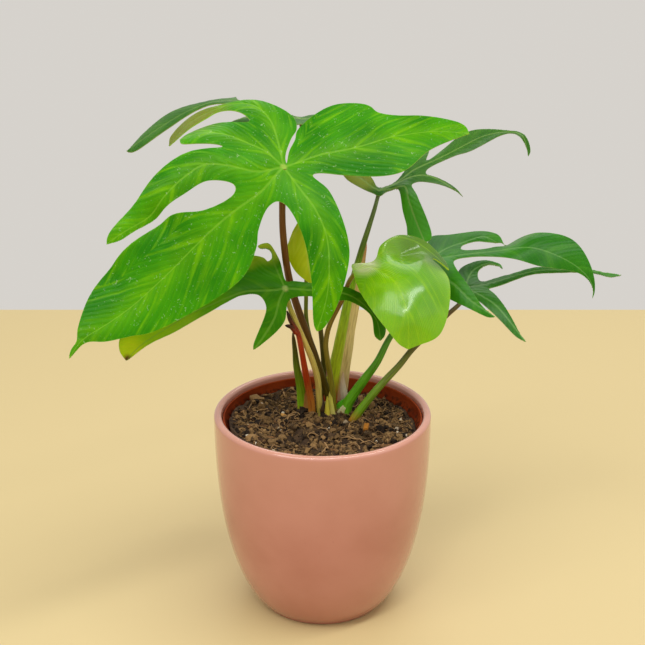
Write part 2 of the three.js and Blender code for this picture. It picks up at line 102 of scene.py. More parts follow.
# at is where the petiole joins, aim points towards the longest lobe, and faces is the way the upper
# side looks. A point (a, b, h) is a across the leaf, b along aim and h above its plane. Each lobe has a
# rib from the junction to its tip, and edge is the margin from that tip to the next one. swell holds
# more points that the blade's sheet passes through.
LEAVES = {
    "front": {
        "at": (-22, -20, 165),
        "aim": (-115, -75, -86),
        "faces": (-10, -62, 78),
        "lobes": [
            {
                "rib": [
                    (-8, -22, -3), (-19, -43, -6), (-28, -60, -6), (-41, -75, -5), (-61, -88, -2),
                ],
                "edge": [
                    (-50, -67), (-46, -48), (-14, -9), (-27, -9), (-57, 6), (-69, 27), (-70, 42),
                ],
            },
            {
                "rib": [
                    (-17, 3, -4), (-30, 5, -8), (-43, 10, -14), (-54, 19, -21), (-63, 31, -33),
                    (-68, 46, -48),
                ],
                "edge": [
                    (-65, 45), (-52, 32), (-35, 20), (-17, 15), (-12, 17), (-11, 23), (-16, 36),
                    (-21, 43), (-27, 61), (-21, 118), (-15, 130), (-9, 142), (-3, 150),
                ],
            },
            {
                "rib": [
                    (-3, 19, 0), (-3, 44, 2), (-5, 76, 2), (-6, 106, -1), (-4, 133, -3),
                    (-1, 152, -4), (-2, 162, -8),
                ],
                "edge": [
                    (0, 159), (1, 153), (5, 148), (14, 128), (15, 98), (13, 73), (5, 55), (3, 35),
                    (5, 31), (7, 31), (14, 42), (15, 60), (18, 89), (19, 101),
                ],
            },
            {
                "rib": [
                    (5, 14, 5), (14, 25, 13), (21, 37, 20), (21, 51, 23), (19, 71, 22),
                    (20, 93, 19), (22, 108, 18),
                ],
                "edge": [(24, 105), (28, 79), (33, 49), (32, 38), (26, 20), (28, 21), (40, 37)],
            },
            {
                "rib": [(11, 2, 6), (21, 6, 9), (33, 13, 14), (41, 23, 18), (45, 35, 20)],
                "edge": [
                    (49, 27), (45, 10), (34, -6), (44, -7), (57, 0), (58, 8), (61, 16), (66, 24),
                ],
            },
            {
                "rib": [
                    (14, -9, 2), (28, -16, 4), (43, -17, 4), (55, -10, 2), (64, 2, -2),
                    (70, 16, -7), (72, 29, -14),
                ],
                "edge": [
                    (79, 22), (76, 7), (71, -1), (63, -7), (49, -20), (40, -25), (23, -29),
                    (16, -25), (12, -17), (4, -5), (1, -3), (6, -10), (10, -18), (15, -25),
                    (14, -51), (4, -64), (-2, -67), (-8, -67), (-29, -81), (-51, -90), (-57, -90),
                ],
            },
        ],
        "swell": [
            (5, -37, -3), (-3, -57, -5), (-23, -71, -7), (17, -25, -2), (29, -26, 1),
            (-21, -24, -8), (-39, -45, -11), (-29, 70, -20), (-25, 89, -15), (16, 113, 9),
            (15, 77, 14), (-55, 8, -20), (-46, 25, -23),
        ],
    },
    "low_left": {
        "at": (-22, -17, 91),
        "aim": (-90, -35, -31),
        "faces": (-5, -62, 78),
        "lobes": [
            {
                "rib": [
                    (-3, -8, -3), (-9, -21, -7), (-15, -34, -13), (-22, -41, -21), (-31, -44, -28),
                    (-41, -41, -34),
                ],
                "edge": [
                    (-38, -39), (-27, -42), (-18, -33), (-15, -24), (-7, -9), (-6, 1), (-14, 8),
                    (-17, 15),
                ],
            },
            {
                "rib": [(-4, 6, -3), (-11, 13, -7), (-16, 22, -11), (-20, 32, -15)],
                "edge": [(-18, 31), (-5, 15), (2, 16), (5, 26), (4, 36), (1, 69), (1, 85)],
            },
            {
                "rib": [
                    (3, 11, 2), (6, 23, 6), (6, 37, 8), (6, 55, 9), (4, 75, 8), (2, 92, 6),
                    (-1, 102, 3),
                ],
                "edge": [
                    (5, 103), (11, 99), (14, 84), (13, 68), (12, 54), (19, 27), (28, 10), (24, 2),
                    (21, 1), (22, -2), (26, -4), (29, -3),
                ],
            },
            {
                "rib": [(10, -1, 0), (19, -2, 1), (28, -4, 2), (30, 1, 4)],
                "edge": [
                    (32, 2), (32, -5), (20, -6), (4, -3), (3, -7), (-7, -26), (-10, -34),
                    (-18, -44), (-26, -46), (-34, -48), (-39, -45),
                ],
            },
        ],
        "swell": [(24, 10, 4), (17, 17, 5), (15, 44, 9)],
    },
    "lime": {
        "at": (21, -11, 101),
        "aim": (29, -33, -37),
        "faces": (5, -72, 69),
        "lobes": [
            {
                "rib": [
                    (-6, 3, 2), (-10, 12, 6), (-11, 23, 11), (-9, 34, 12), (-5, 46, 11),
                    (1, 58, 0),
                ],
                "edge": [
                    (-20, 59), (-45, 30), (-46, 20), (-44, 14), (-46, 13), (-50, 20),
                ],
            },
            {
                "rib": [
                    (-9, -2, -1), (-17, -2, 1), (-24, -7, -1), (-33, -8, -4), (-42, -2, -8),
                    (-48, 9, -11), (-51, 23, -11),
                ],
                "edge": [
                    (-53, 17), (-49, 0), (-35, -9), (-20, -7), (-11, 0), (1, -5), (3, -1), (8, 17),
                    (5, 52),
                ],
            },
        ],
        "swell": [
            (-36, 22, 3), (-39, 35, 2), (-36, 44, 2), (-22, 55, 3), (-35, 14, 2), (-22, 8, 3),
            (-28, 3, -6), (-36, 5, -7), (7, 18, 5), (7, 35, 6), (-21, 39, 11),
        ],
    },
    "right": {
        "at": (67, 22, 96),
        "aim": (95, -22, -14),
        "faces": (15, -55, 82),
        "lobes": [
            {
                "rib": [(-12, 6, -1), (-22, 16, -1), (-30, 28, 1), (-28, 42, 2)],
                "edge": [
                    (-31, 39), (-26, 30), (-24, 22), (-19, 16), (-13, 16), (-16, 30), (-26, 40),
                    (-31, 49), (-28, 59), (-24, 77), (-12, 92), (-1, 99),
                ],
            },
            {
                "rib": [
                    (-3, 8, 3), (-9, 25, 8), (-13, 44, 17), (-14, 60, 23), (-11, 74, 25),
                    (-8, 87, 23), (-3, 96, 19), (2, 99, 13),
                ],
                "edge": [(-1, 98), (-6, 89), (-5, 70), (-5, 46), (-5, 23), (1, 13), (26, 35)],
            },
            {
                "rib": [(9, 7, 3), (18, 18, 5), (26, 30, 5), (31, 46, 4)],
                "edge": [(32, 41), (24, 15), (7, -1), (-8, -4), (-24, -4), (-28, 5), (-37, 35)],
            },
        ],
        "swell": [(-23, 53, 21), (-22, 70, 28), (19, 10, -2), (-7, 62, 20)],
    },
    "far_right": {
        "at": (90, 34, 74),
        "aim": (96, -4, 9),
        "faces": (5, -35, 93),
        "lobes": [
            {
                "rib": [(-8, 2, 0), (-16, 6, 1), (-20, 15, 4), (-17, 22, 5)],
                "edge": [(-19, 18), (-19, 13), (-15, 9), (-5, 10), (-8, 25), (-10, 45)],
            },
            {
                "rib": [
                    (0, 9, 2), (-2, 19, 4), (-6, 31, 6), (-7, 44, 10), (-4, 58, 14), (2, 76, 19),
                    (8, 93, 22),
                ],
                "edge": [(8, 87), (3, 76), (-5, 40), (2, 19), (4, 14), (10, 17), (35, 31)],
            },
            {
                "rib": [(10, 7, 3), (19, 16, 3), (30, 25, -1), (40, 35, -8)],
                "edge": [
                    (37, 28), (14, 6), (5, 1), (-4, -4), (-19, -2), (-24, 11), (-18, 23),
                    (-14, 24),
                ],
            },
        ],
        "swell": [],
    },
    "top_right": {
        "at": (35, 40, 135),
        "aim": (93, 20, 23),
        "faces": (5, -50, 86),
        "lobes": [
            {
                "rib": [(5, 14, 5), (14, 14, 2), (25, 15, -4), (39, 17, -11)],
                "edge": [(37, 22), (13, 20), (5, 19), (3, 24), (14, 44)],
            },
            {
                "rib": [(-1, 29, 5), (7, 38, 5), (19, 48, 1)],
                "edge": [
                    (13, 45), (2, 35), (-2, 31), (-5, 33), (-8, 51), (-7, 61), (-9, 83), (-6, 89),
                    (4, 94),
                ],
            },
            {
                "rib": [
                    (-2, 12, 2), (-7, 25, 5), (-10, 40, 7), (-12, 57, 12), (-13, 72, 17),
                    (-9, 86, 21), (-2, 93, 22), (8, 94, 14),
                ],
                "edge": [(6, 96), (-3, 94), (-21, 68), (-21, 58), (-12, 35), (-19, 39)],
            },
            {
                "rib": [(-17, 31, 5), (-27, 43, 5)],
                "edge": [(-26, 38), (-4, 12), (-3, 1), (-12, -1), (-22, -7), (-27, -15)],
            },
            {
                "rib": [(-5, -3, -1), (-13, -8, 0), (-22, -18, 1)],
                "edge": [
                    (-14, -16), (0, -4), (4, -1), (2, 5), (3, 10), (19, 9), (27, 9), (34, 8),
                    (38, 11),
                ],
            },
        ],
        "swell": [],
    },
    "top_left": {
        "at": (-13, 38, 180),
        "aim": (-107, 4, -21),
        "faces": (-25, -30, 92),
        "lobes": [
            {
                "rib": [
                    (8, 11, 6), (15, 24, 11), (18, 37, 13), (19, 53, 15), (16, 70, 14),
                    (11, 86, 11), (5, 100, 8), (1, 109, 6),
                ],
                "edge": [(13, 99), (23, 85), (26, 71), (25, 57), (27, 46)],
            },
            {
                "rib": [(24, 23, 7), (30, 34, 8), (30, 39, 9)],
                "edge": [(19, 36), (10, 27), (3, 2), (4, -7), (-7, -27)],
            },
            {
                "rib": [(-2, -10, 0), (-6, -23, -3), (-13, -32, -9)],
                "edge": [(-16, -23), (-12, -6), (-9, -1), (-15, 8), (-19, 18), (-15, 36)],
            },
            {
                "rib": [(-2, 15, 10), (-6, 27, 13), (-8, 36, 14), (-8, 45, 13)],
                "edge": [(-7, 36), (-1, 24), (16, 50), (-2, 104)],
            },
        ],
        "swell": [],
    },
    "inner_lime": {
        "at": (-12, 10, 124),
        "aim": (8, -7, -39),
        "faces": (-25, -80, 55),
        "lobes": [
            {
                "rib": [(3, 5, 2), (11, 12, -2)],
                "edge": [(12, 18), (9, 28)],
            },
            {
                "rib": [(0, 9, 0), (0, 18, -3), (1, 28, -9), (0, 37, -17)],
                "edge": [(-8, 26)],
            },
            {
                "rib": [(-6, 5, -2), (-10, 10, -9)],
                "edge": [(-9, 4), (0, -2), (5, 4)],
            },
        ],
        "swell": [],
    },
}
# route runs from the top down to the soil, in the heights above its crest. radius is at the top and at
# the foot, and fill is how late the stem thickens. flat is the depth of the section as a share of its
# width, cup bends the section into a channel, and hues run from the top to the foot.
STEMS = {
    "front_petiole": {
        "leaf": "front",
        "route": [(-23, -19, 144), (-23, -13, 124), (-20, 0, 91), (-15, 3, 71), (-9, 6, 52),
                  (-4, 9, 35), (0, 12, 21), (5, 15, 3), (6, 15, -11)],
        "radius": (1.8, 2.6),
        "hues": [(0, "#7c7024"), (0.05, "#764a18"), (0.45, "#663c0e"), (0.7, "#5c440e"), (0.9, "#605614")],
    },
    "low_left_petiole": {
        "leaf": "low_left",
        "route": [(-20, -14, 80), (-15, -8, 64), (-10, -4, 50), (-6, 1, 37), (-3, 6, 23),
                  (-2, 9, 6), (-1, 9, -11)],
        "radius": (1.5, 2.2),
        "hues": [(0, "#8c9c34"), (0.3, "#dcc86c"), (0.75, "#dcc868"), (0.95, "#b4aa3c")],
    },
    "inner_petiole": {
        "leaf": "inner_lime",
        "route": [(-10, 11, 101), (-10, 10, 77), (-10, 9, 63), (-8, 11, 50), (-5, 15, 38),
                  (-3, 20, 23), (-2, 22, 3), (-2, 22, -11)],
        "radius": (1.0, 1.7),
        "hues": [(0, "#8d9a1c"), (0.5, "#5d6f14"), (0.9, "#4c5410")],
    },
    "lime_petiole": {
        "leaf": "lime",
        "route": [(16, -4, 91), (12, 0, 78), (8, 2, 69), (5, 3, 62), (3, 4, 55), (2, 4, 47),
                  (3, 5, 37), (5, 8, 23), (7, 9, 6), (7, 9, -11)],
        "radius": (1.3, 1.9),
        "hues": [(0, "#8a9a24"), (0.15, "#84601c"), (0.45, "#807020"), (0.9, "#84801c")],
    },
    "right_petiole": {
        "leaf": "right",
        "route": [(63, 19, 77), (53, 14, 63), (42, 10, 50), (34, 8, 34), (27, 9, 23),
                  (21, 11, 13), (16, 12, 4), (14, 12, -3), (13, 12, -11)],
        "radius": (1.3, 4.2),
        "fill": 2.0,
        "hues": [(0, "#4a7c2c"), (0.3, "#44801a"), (0.6, "#589c1c"), (0.85, "#6cb81c")],
    },
    "far_right_petiole": {
        "leaf": "far_right",
        "route": [(88, 30, 67), (78, 24, 59), (67, 17, 50), (56, 12, 41), (48, 8, 32),
                  (37, 4, 21), (26, 3, 7), (19, 3, -4), (15, 3, -13)],
        "radius": (1.3, 3.0),
        "fill": 1.3,
        "hues": [(0, "#5c6e2a"), (0.2, "#6a4a2c"), (0.42, "#5c5420"), (0.6, "#74862a"),
                 (0.84, "#74a81a"), (0.93, "#c0802c")],
    },
    "top_right_petiole": {
        "leaf": "top_right",
        "route": [(32, 36, 124), (29, 33, 115), (24, 28, 100), (20, 24, 86), (16, 20, 71),
                  (13, 18, 55), (10, 19, 38), (7, 21, 20), (5, 23, 1), (5, 23, -11)],
        "radius": (1.1, 4.9),
        "fill": 1.1,
        "hues": [(0, "#66784a"), (0.25, "#5f7a20"), (0.4, "#84b414"), (0.79, "#c4dc28"),
                 (0.86, "#d0a838"), (0.91, "#ec5e34")],
    },
    "top_left_petiole": {
        "leaf": "top_left",
        "route": [(-12, 36, 161), (-11, 33, 143), (-8, 29, 107), (-4, 28, 75), (-2, 28, 55),
                  (0, 28, 35), (1, 29, 17), (1, 30, -2), (1, 30, -11)],
        "radius": (1.2, 1.7),
        "hues": [(0, "#6b4a24"), (0.5, "#5a4a1c"), (0.95, "#4b4a18")],
    },
    "old_red_stalk": {
        "route": [(-21, -15, 76), (-19, -13, 69), (-15, -11, 61), (-13, -8, 50), (-11, -3, 35),
                  (-9, 3, 20), (-7, 7, 6), (-6, 8, -9)],
        "radius": (1.3, 2.6),
        "hues": [(0, "#1c0c06"), (0.1, "#5a2410"), (0.25, "#a4300a"), (0.6, "#ac3c10"), (0.85, "#b8782c")],
    },
    "green_sheath": {
        "route": [(-18, -4, 58), (-17, 0, 46), (-16, 5, 32), (-14, 10, 18), (-13, 14, 6),
                  (-12, 16, -9)],
        "radius": (1.0, 3.8),
        "flat": 0.7,
        "hues": [(0, "#4a3a1a"), (0.3, "#5c701a"), (0.6, "#7aa41a"), (0.82, "#90cc20"), (0.93, "#cc9034")],
    },
    "tan_sheath": {
        "route": [(27, 37, 104), (25, 35, 92), (23, 32, 78), (21, 29, 66), (18, 27, 50),
                  (16, 26, 35), (14, 26, 21), (12, 27, 2), (12, 27, -9)],
        "radius": (1.3, 4.0),
        "fill": 0.7,
        "flat": 0.35,
        "cup": 0.5,
        "hues": [(0, "#e89a5c"), (0.12, "#f0c48c"), (0.4, "#fce0a0"), (0.75, "#f8dca0"), (0.95, "#f4e0bc")],
    },
    "pale_scale": {
        "route": [(13, 18, 23), (13, 18, 14), (14, 18, 5), (14, 19, -8)],
        "radius": (1.0, 3.8),
        "flat": 0.6,
        "cup": 0.3,
        "hues": [(0, "#d9b48c"), (0.4, "#e6d2bd"), (0.8, "#e2b7a2")],
    },
    "new_bud": {
        "route": [(3, 5, 12), (3, 4, 6), (3, 3, -3), (3, 3, -11)],
        "radius": (0.8, 2.8),
        "hues": [(0, "#b4ae30"), (0.5, "#d0c43c"), (1, "#dccc5c")],
    },
    "side_bud": {
        "route": [(-2, 3, 5), (-2, 1, -1), (-2, 0, -11)],
        "radius": (0.7, 1.5),
        "hues": [(0, "#7a7320"), (1, "#8f7a22")],
    },
}
# The second dead end at the tip of the old red stalk. It takes its hue from the stalk's top fifth.
SPUR = {
    "route": [(-22, -18, 68), (-19, -15, 66), (-16, -12, 61)],
    "radius": (1.1, 1.4),
    "share": 0.2,
}

# Small papery and fleshy scales round the foot of the plant.
SCALES = {
    "green_scale": {
        "route": [(21, 11, 9), (15, 12, 6), (10, 12, 1), (8, 12, -5)],
        "radius": (1.2, 3.4), "flat": 0.55, "cup": 0.4,
        "hues": [(0, "#4cae12"), (0.6, "#5cbc1c"), (1, "#b4c860")],
    },
    "yellow_scale": {
        "route": [(5, 9, 15), (5, 7, 8), (6, 6, -6)],
        "radius": (0.7, 3.2), "flat": 0.5, "cup": 0.3,
        "hues": [(0, "#a8a030"), (0.4, "#ccc850"), (0.8, "#dcd478")],
    },
    "bract": {
        "route": [(16, 11, 4), (13, 9, 2), (10, 8, -4)],
        "radius": (1.0, 2.8), "flat": 0.5, "cup": 0.3,
        "hues": [(0, "#c8c890"), (0.6, "#c4c088"), (1, "#a8a870")],
    },
    "dry_scale": {
        "route": [(-10, 12, 14), (-10, 11, 7), (-9, 11, -6)],
        "radius": (0.8, 3.2), "flat": 0.45, "cup": 0.5,
        "hues": [(0, "#8c5c24"), (0.5, "#b88440"), (0.9, "#c89858")],
    },
    "leaf_scar": {
        "route": [(0, 10, 9), (0, 8, 3), (0, 8, -6)],
        "radius": (1.0, 2.8), "flat": 0.6, "cup": 0.2,
        "hues": [(0, "#3c2410"), (0.5, "#4a3418"), (0.9, "#5c4420")],
    },
}

# ---------------------------------------------------------------- camera, light and floor

CAMERA_PLACE = (0, -763.7, 476.7)
CAMERA_PITCH = 20.7
FLOOR_EDGE = 535  # the floor ends this far behind the pot
FLOOR_REACH = 3  # metres from the pot to the floor's other edges

scene = bpy.context.scene
lens = bpy.data.cameras.new("camera")
lens.sensor_width = 24
lens.lens = 50
camera = bpy.data.objects.new("camera", lens)
camera.location = Vector(CAMERA_PLACE) * MM
camera.rotation_euler = (math.radians(90 - CAMERA_PITCH), 0, 0)
scene.collection.objects.link(camera)
scene.camera = camera
scene.view_settings.view_transform = "Standard"


# ---------------------------------------------------------------- helpers


def linear(hue):
    """An sRGB hex value as linear red, green, blue and alpha."""
    parts = [int(hue[i : i + 2], 16) / 255 for i in (1, 3, 5)]
    return [c / 12.92 if c <= 0.04045 else ((c + 0.055) / 1.055) ** 2.4 for c in parts] + [1]


def add(tree, kind, sockets=None, **settings):
    """Adds a shader node with its settings and links. A socket takes a value, a hex colour or another
    node's output, and stops are the places and colours of a ramp."""
    node = tree.nodes.new("ShaderNode" + kind)
    for key, value in settings.items():
        if key == "stops":
            ramp = node.color_ramp.elements
            for i, (place, hue) in enumerate(value):
                stop = ramp[i] if i < 2 else ramp.new(place)
                stop.position = place
                stop.color = linear(hue)
        else:
            setattr(node, key, value)
    for key, value in (sockets or {}).items():
        if isinstance(value, bpy.types.NodeSocket):
            tree.links.new(value, node.inputs[key])
        else:
            node.inputs[key].default_value = linear(value) if isinstance(value, str) else value
    return node


def new_material(name):
    """A material with its tree and its shader."""
    material = bpy.data.materials.new(name)
    material.use_nodes = True
    tree = material.node_tree
    shader = tree.nodes["Principled BSDF"]
    return material, tree, shader


def per_mm(size):
    """The scale of a pattern on Object coordinates whose features are `size` millimetres."""
    return 1 / (size * MM)


def tint(tree, under, over, value, low, high, start=0.0, stop=1.0):
    """Lays one colour over another; its share eases from start to stop as a value goes from low to high."""
    sockets = {0: value, 1: low, 2: high, 3: start, 4: stop}
    share = add(tree, "MapRange", sockets, interpolation_type="SMOOTHSTEP").outputs[0]
    return add(tree, "Mix", {0: share, 6: under, 7: over}, data_type="RGBA").outputs[2]


SPLINE_TRIES = 24  # points tried between two given ones, before they are spaced evenly


def spline(points, step):
    """Points about `step` apart on a centripetal Catmull-Rom curve through the given ones."""
    p = np.array(points, float)
    p = np.vstack([2 * p[0] - p[1], p, 2 * p[-1] - p[-2]])
    dense = []
    for i in range(1, len(p) - 2):
        a, b, c, d = p[i - 1 : i + 3]
        t0 = 0
        t1 = t0 + max(np.linalg.norm(b - a), 1e-6) ** 0.5
        t2 = t1 + max(np.linalg.norm(c - b), 1e-6) ** 0.5
        t3 = t2 + max(np.linalg.norm(d - c), 1e-6) ** 0.5
        for t in np.linspace(t1, t2, SPLINE_TRIES, endpoint=False):
            ab = ((t1 - t) * a + (t - t0) * b) / (t1 - t0)
            bc = ((t2 - t) * b + (t - t1) * c) / (t2 - t1)
            cd = ((t3 - t) * c + (t - t2) * d) / (t3 - t2)
            abc = ((t2 - t) * ab + (t - t0) * bc) / (t2 - t0)
            bcd = ((t3 - t) * bc + (t - t1) * cd) / (t3 - t1)
            dense.append(((t2 - t) * abc + (t - t1) * bcd) / (t2 - t1))
    dense.append(p[-2])
    dense = np.array(dense)
    run = np.concatenate([[0], np.cumsum(np.linalg.norm(np.diff(dense, axis=0), axis=1))])
    count = max(2, round(run[-1] / step))
    at = np.linspace(0, run[-1], count + 1)
    return np.stack([np.interp(at, run, dense[:, k]) for k in range(dense.shape[1])], 1)


def finish_piece(piece, nodes=()):
    """Links a piece, makes it ride on the one body and hides the CAD nodes that it stands for."""
    scene.collection.objects.link(piece)
    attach(piece, "root")
    if nodes:
        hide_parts(*nodes)
    return piece


def as_piece(name, bm, materials, nodes=(), sharp=None):
    """A bmesh in millimetres as a smooth finished piece in metres."""
    bmesh.ops.scale(bm, vec=(MM, MM, MM), verts=bm.verts)
    mesh = bpy.data.meshes.new(name)
    bm.to_mesh(mesh)
    bm.free()
    for material in materials:
        mesh.materials.append(material)
    mesh.polygons.foreach_set("use_smooth", [True] * len(mesh.polygons))
    if sharp:
        mesh.set_sharp_from_angle(angle=math.radians(sharp))
    return finish_piece(bpy.data.objects.new(name, mesh), nodes)


# ---------------------------------------------------------------- pots


def pot_radius(z):
    """Outer radius of the glazed pot at a height."""
    down = max(0.0, 1 - z / POT_HEIGHT)
    swell = (1 - down ** POT_BULGE[0]) ** (1 / POT_BULGE[1])
    return POT_FOOT_RADIUS + (POT_RIM_RADIUS - POT_FOOT_RADIUS) * swell


def arc(r, z, radius, start, stop, steps):
    """Profile points of an arc; the angles are in quarter turns."""
    angles = [(start + (stop - start) * i / steps) * math.pi / 2 for i in range(steps + 1)]
    return [(r + radius * math.cos(t), z + radius * math.sin(t)) for t in angles]


def turned(profile, sides):
    """A closed body turned from a profile of (radius, height) points; the ends are on the axis."""
    bm = bmesh.new()
    row = [bm.verts.new((r, 0, z)) for r, z in profile]
    edges = [bm.edges.new(pair) for pair in zip(row, row[1:])]
    bmesh.ops.spin(bm, geom=row + edges, cent=(0, 0, 0), axis=(0, 0, 1), angle=2 * math.pi,
                   steps=sides, use_merge=True, use_duplicate=False)
    bmesh.ops.remove_doubles(bm, verts=bm.verts, dist=0.001)
    bmesh.ops.recalc_face_normals(bm, faces=bm.faces)
    return bm


def glaze():
    """Dusty rose glaze on stoneware: a glassy coat, thin and lighter on the lip with a painted highlight
    there, a painted reflection lightening it towards the top, and painted shade darkening it towards the
    foot.
    """
    material, tree, shader = new_material("dusty_rose_glaze")
    place = add(tree, "TexCoord").outputs["Object"]
    height = add(tree, "SeparateXYZ", {0: place}).outputs["Z"]
    cloud = add(tree, "TexNoise", {"Vector": place, "Scale": per_mm(45), "Detail": 3}).outputs["Fac"]
    speck = add(tree, "TexNoise", {"Vector": place, "Scale": per_mm(1.4), "Detail": 2}).outputs["Fac"]
    colour = tint(tree, "#b57566", "#bf8072", cloud, 0.3, 0.7)
    colour = tint(tree, colour, "#9c5a46", speck, 0.66, 0.78, 0, 0.2)
    # Painted reflection: the body lightens towards the top.
    colour = tint(tree, colour, "#cc9482", height, 60 * MM, POT_HEIGHT * MM, 0, 0.5)
    # Lighter on the lip, where the glaze runs thin, with a painted highlight along it.
    lip_low, lip_high = (POT_HEIGHT - 2.2) * MM, (POT_HEIGHT - 0.3) * MM
    colour = tint(tree, colour, "#d49a84", height, lip_low, lip_high, 0, 0.55)
    # Painted shade: the body darkens towards the foot.
    colour = tint(tree, colour, "#a05c46", height, 2 * MM, 40 * MM, 0.35, 0)
    tree.links.new(colour, shader.inputs["Base Color"])
    ripple = add(tree, "TexNoise", {"Vector": place, "Scale": per_mm(16), "Detail": 1}).outputs["Fac"]
    bump = add(tree, "Bump", {"Height": ripple, "Strength": 0.25, "Distance": 0.2 * MM})
    tree.links.new(bump.outputs[0], shader.inputs["Normal"])
    shader.inputs["Roughness"].default_value = 0.16
    shader.inputs["IOR"].default_value = 1.5
    shader.inputs["Coat Weight"].default_value = 0.4
    shader.inputs["Coat Roughness"].default_value = 0.06
    return material


def bare_clay():
    """Unglazed stoneware on the foot: matt, pale and slightly gritty. Its real grit is near 0.2 mm, and is
    drawn at 0.8 mm so that it shows."""
    material, tree, shader = new_material("bare_stoneware_foot")
    place = add(tree, "TexCoord").outputs["Object"]
    grit = add(tree, "TexNoise", {"Vector": place, "Scale": per_mm(0.8), "Detail": 4}).outputs["Fac"]
    clay = add(tree, "Mix", {0: grit, 6: "#c9b49c", 7: "#e2d3bf"}, data_type="RGBA")
    tree.links.new(clay.outputs[2], shader.inputs["Base Color"])
    bump = add(tree, "Bump", {"Height": grit, "Strength": 0.5, "Distance": 0.15 * MM})
    tree.links.new(bump.outputs[0], shader.inputs["Normal"])
    shader.inputs["Roughness"].default_value = 0.85
    return material


def make_outer_pot():
    """The glazed cachepot: a tulip wall with a rounded lip, and bare clay under the foot."""
    lip = POT_WALL / 2
    top = POT_HEIGHT - lip
    rings = range(POT_RINGS + 1)
    outside = [POT_FOOT_EDGE + (top - POT_FOOT_EDGE) * i / POT_RINGS for i in rings]
    inside = [POT_FLOOR + (top - POT_FLOOR) * (POT_RINGS - i) / POT_RINGS for i in rings]
    profile = [(0, 0), (POT_FOOT_RADIUS - 12, 0)]
    profile += arc(pot_radius(POT_FOOT_EDGE) - POT_FOOT_EDGE, POT_FOOT_EDGE, POT_FOOT_EDGE, -1, 0, 5)
    profile += [(pot_radius(z), z) for z in outside[1:-1]]
    profile += arc(pot_radius(top) - lip, top, lip, 0, 2, 12)
    profile += [(pot_radius(z) - POT_WALL, z) for z in inside[1:]]
    profile += [(0, POT_FLOOR)]
    bm = turned(profile, POT_SIDES)
    for face in bm.faces:
        if face.calc_center_median().z < 0.1:
            face.material_index = 1
    return as_piece("cachepot", bm, [glaze(), bare_clay()], ["outer_pot"])


def nursery_plastic():
    """Thin moulded polypropylene: rust brown, satin, lighter along the crest of its rim."""
    material, tree, shader = new_material("moulded_polypropylene")
    place = add(tree, "TexCoord").outputs["Object"]
    cloud = add(tree, "TexNoise", {"Vector": place, "Scale": per_mm(20), "Detail": 4}).outputs["Fac"]
    colour = tint(tree, "#74280a", "#8e3812", cloud, 0.35, 0.65)
    height = add(tree, "SeparateXYZ", {0: place}).outputs["Z"]
    # Lighter along the crest of the rim.
    edge_low, edge_high = nursery_high.z - 0.9 * MM, nursery_high.z
    colour = tint(tree, colour, "#9c4420", height, edge_low, edge_high, 0, 0.6)
    dust = add(tree, "TexNoise", {"Vector": place, "Scale": per_mm(3), "Detail": 5}).outputs["Fac"]
    reach = {0: height, 1: (SOIL_EDGE + 1) * MM, 2: (SOIL_EDGE + 5) * MM, 3: 0.8, 4: 0}
    low = add(tree, "MapRange", reach, interpolation_type="SMOOTHSTEP").outputs[0]
    spots = add(tree, "MapRange", {0: dust, 1: 0.45, 2: 0.6}, interpolation_type="SMOOTHSTEP").outputs[0]
    splash = add(tree, "Math", {0: spots, 1: low}, operation="MULTIPLY").outputs[0]
    colour = add(tree, "Mix", {0: splash, 6: colour, 7: "#2a1a10"}, data_type="RGBA").outputs[2]
    tree.links.new(colour, shader.inputs["Base Color"])
    shader.inputs["Roughness"].default_value = 0.6
    shader.inputs["Specular IOR Level"].default_value = 0.06
    bump = add(tree, "Bump", {"Height": dust, "Strength": 0.15, "Distance": 0.1 * MM})
    tree.links.new(bump.outputs[0], shader.inputs["Normal"])
    return material


def nursery_radius(z):
    """Inner radius of the nursery pot at a height."""
    foot = pot_radius(NURSERY_LOW) - POT_WALL - GAP
    rim = pot_radius(NURSERY_HIGH) - POT_WALL - GAP - NURSERY_LIP_PROUD
    return foot + (rim - foot) * (z - NURSERY_LOW) / (NURSERY_HIGH - NURSERY_LOW) - NURSERY_WALL


def make_nursery_pot():
    """The plastic pot inside: a straight tapering wall, a band round its rim and holes in its floor."""
    low, high = NURSERY_LOW, NURSERY_HIGH
    rim = pot_radius(high) - POT_WALL - GAP
    band = high - NURSERY_LIP
    inner = low + NURSERY_WALL
    bead = NURSERY_WALL / 2
    profile = [(0, low), (nursery_radius(low) + NURSERY_WALL, low)]
    profile += [(nursery_radius(band) + NURSERY_WALL, band), (rim, band)]
    profile += arc(rim - bead, high - bead, bead, 0, 2, 8)
    profile += [(rim - 2 * bead, high - 4.2), (nursery_radius(band), band - NURSERY_WALL)]
    profile += [(nursery_radius(inner), inner), (0, inner)]
    bm = turned(profile, NURSERY_SIDES)
    pot = as_piece("nursery_pot_shell", bm, [nursery_plastic()], ["nursery_pot"], 40)
    drills = bmesh.new()
    for i in range(DRAIN_HOLES):
        turn = Matrix.Rotation(2 * math.pi * i / DRAIN_HOLES, 4, "Z")
        place = turn @ Matrix.Translation(Vector((DRAIN_RING, 0, inner)) * MM)
        bmesh.ops.create_cone(drills, cap_ends=True, segments=24, radius1=DRAIN_RADIUS * MM,
                              radius2=DRAIN_RADIUS * MM, depth=4 * NURSERY_WALL * MM, matrix=place)
    mesh = bpy.data.meshes.new("drills")
    drills.to_mesh(mesh)
    drills.free()
    drill = bpy.data.objects.new("drills", mesh)
    scene.collection.objects.link(drill)
    cut = pot.modifiers.new("drain_holes", "BOOLEAN")
    cut.object = drill
    cut.operation = "DIFFERENCE"
    bpy.context.view_layer.update()
    shape = pot.evaluated_get(bpy.context.evaluated_depsgraph_get())
    pot_mesh = bpy.data.meshes.new_from_object(shape)
    pot.modifiers.clear()
    pot.data = pot_mesh
    bpy.data.objects.remove(drill)
    return pot


# ---------------------------------------------------------------- soil


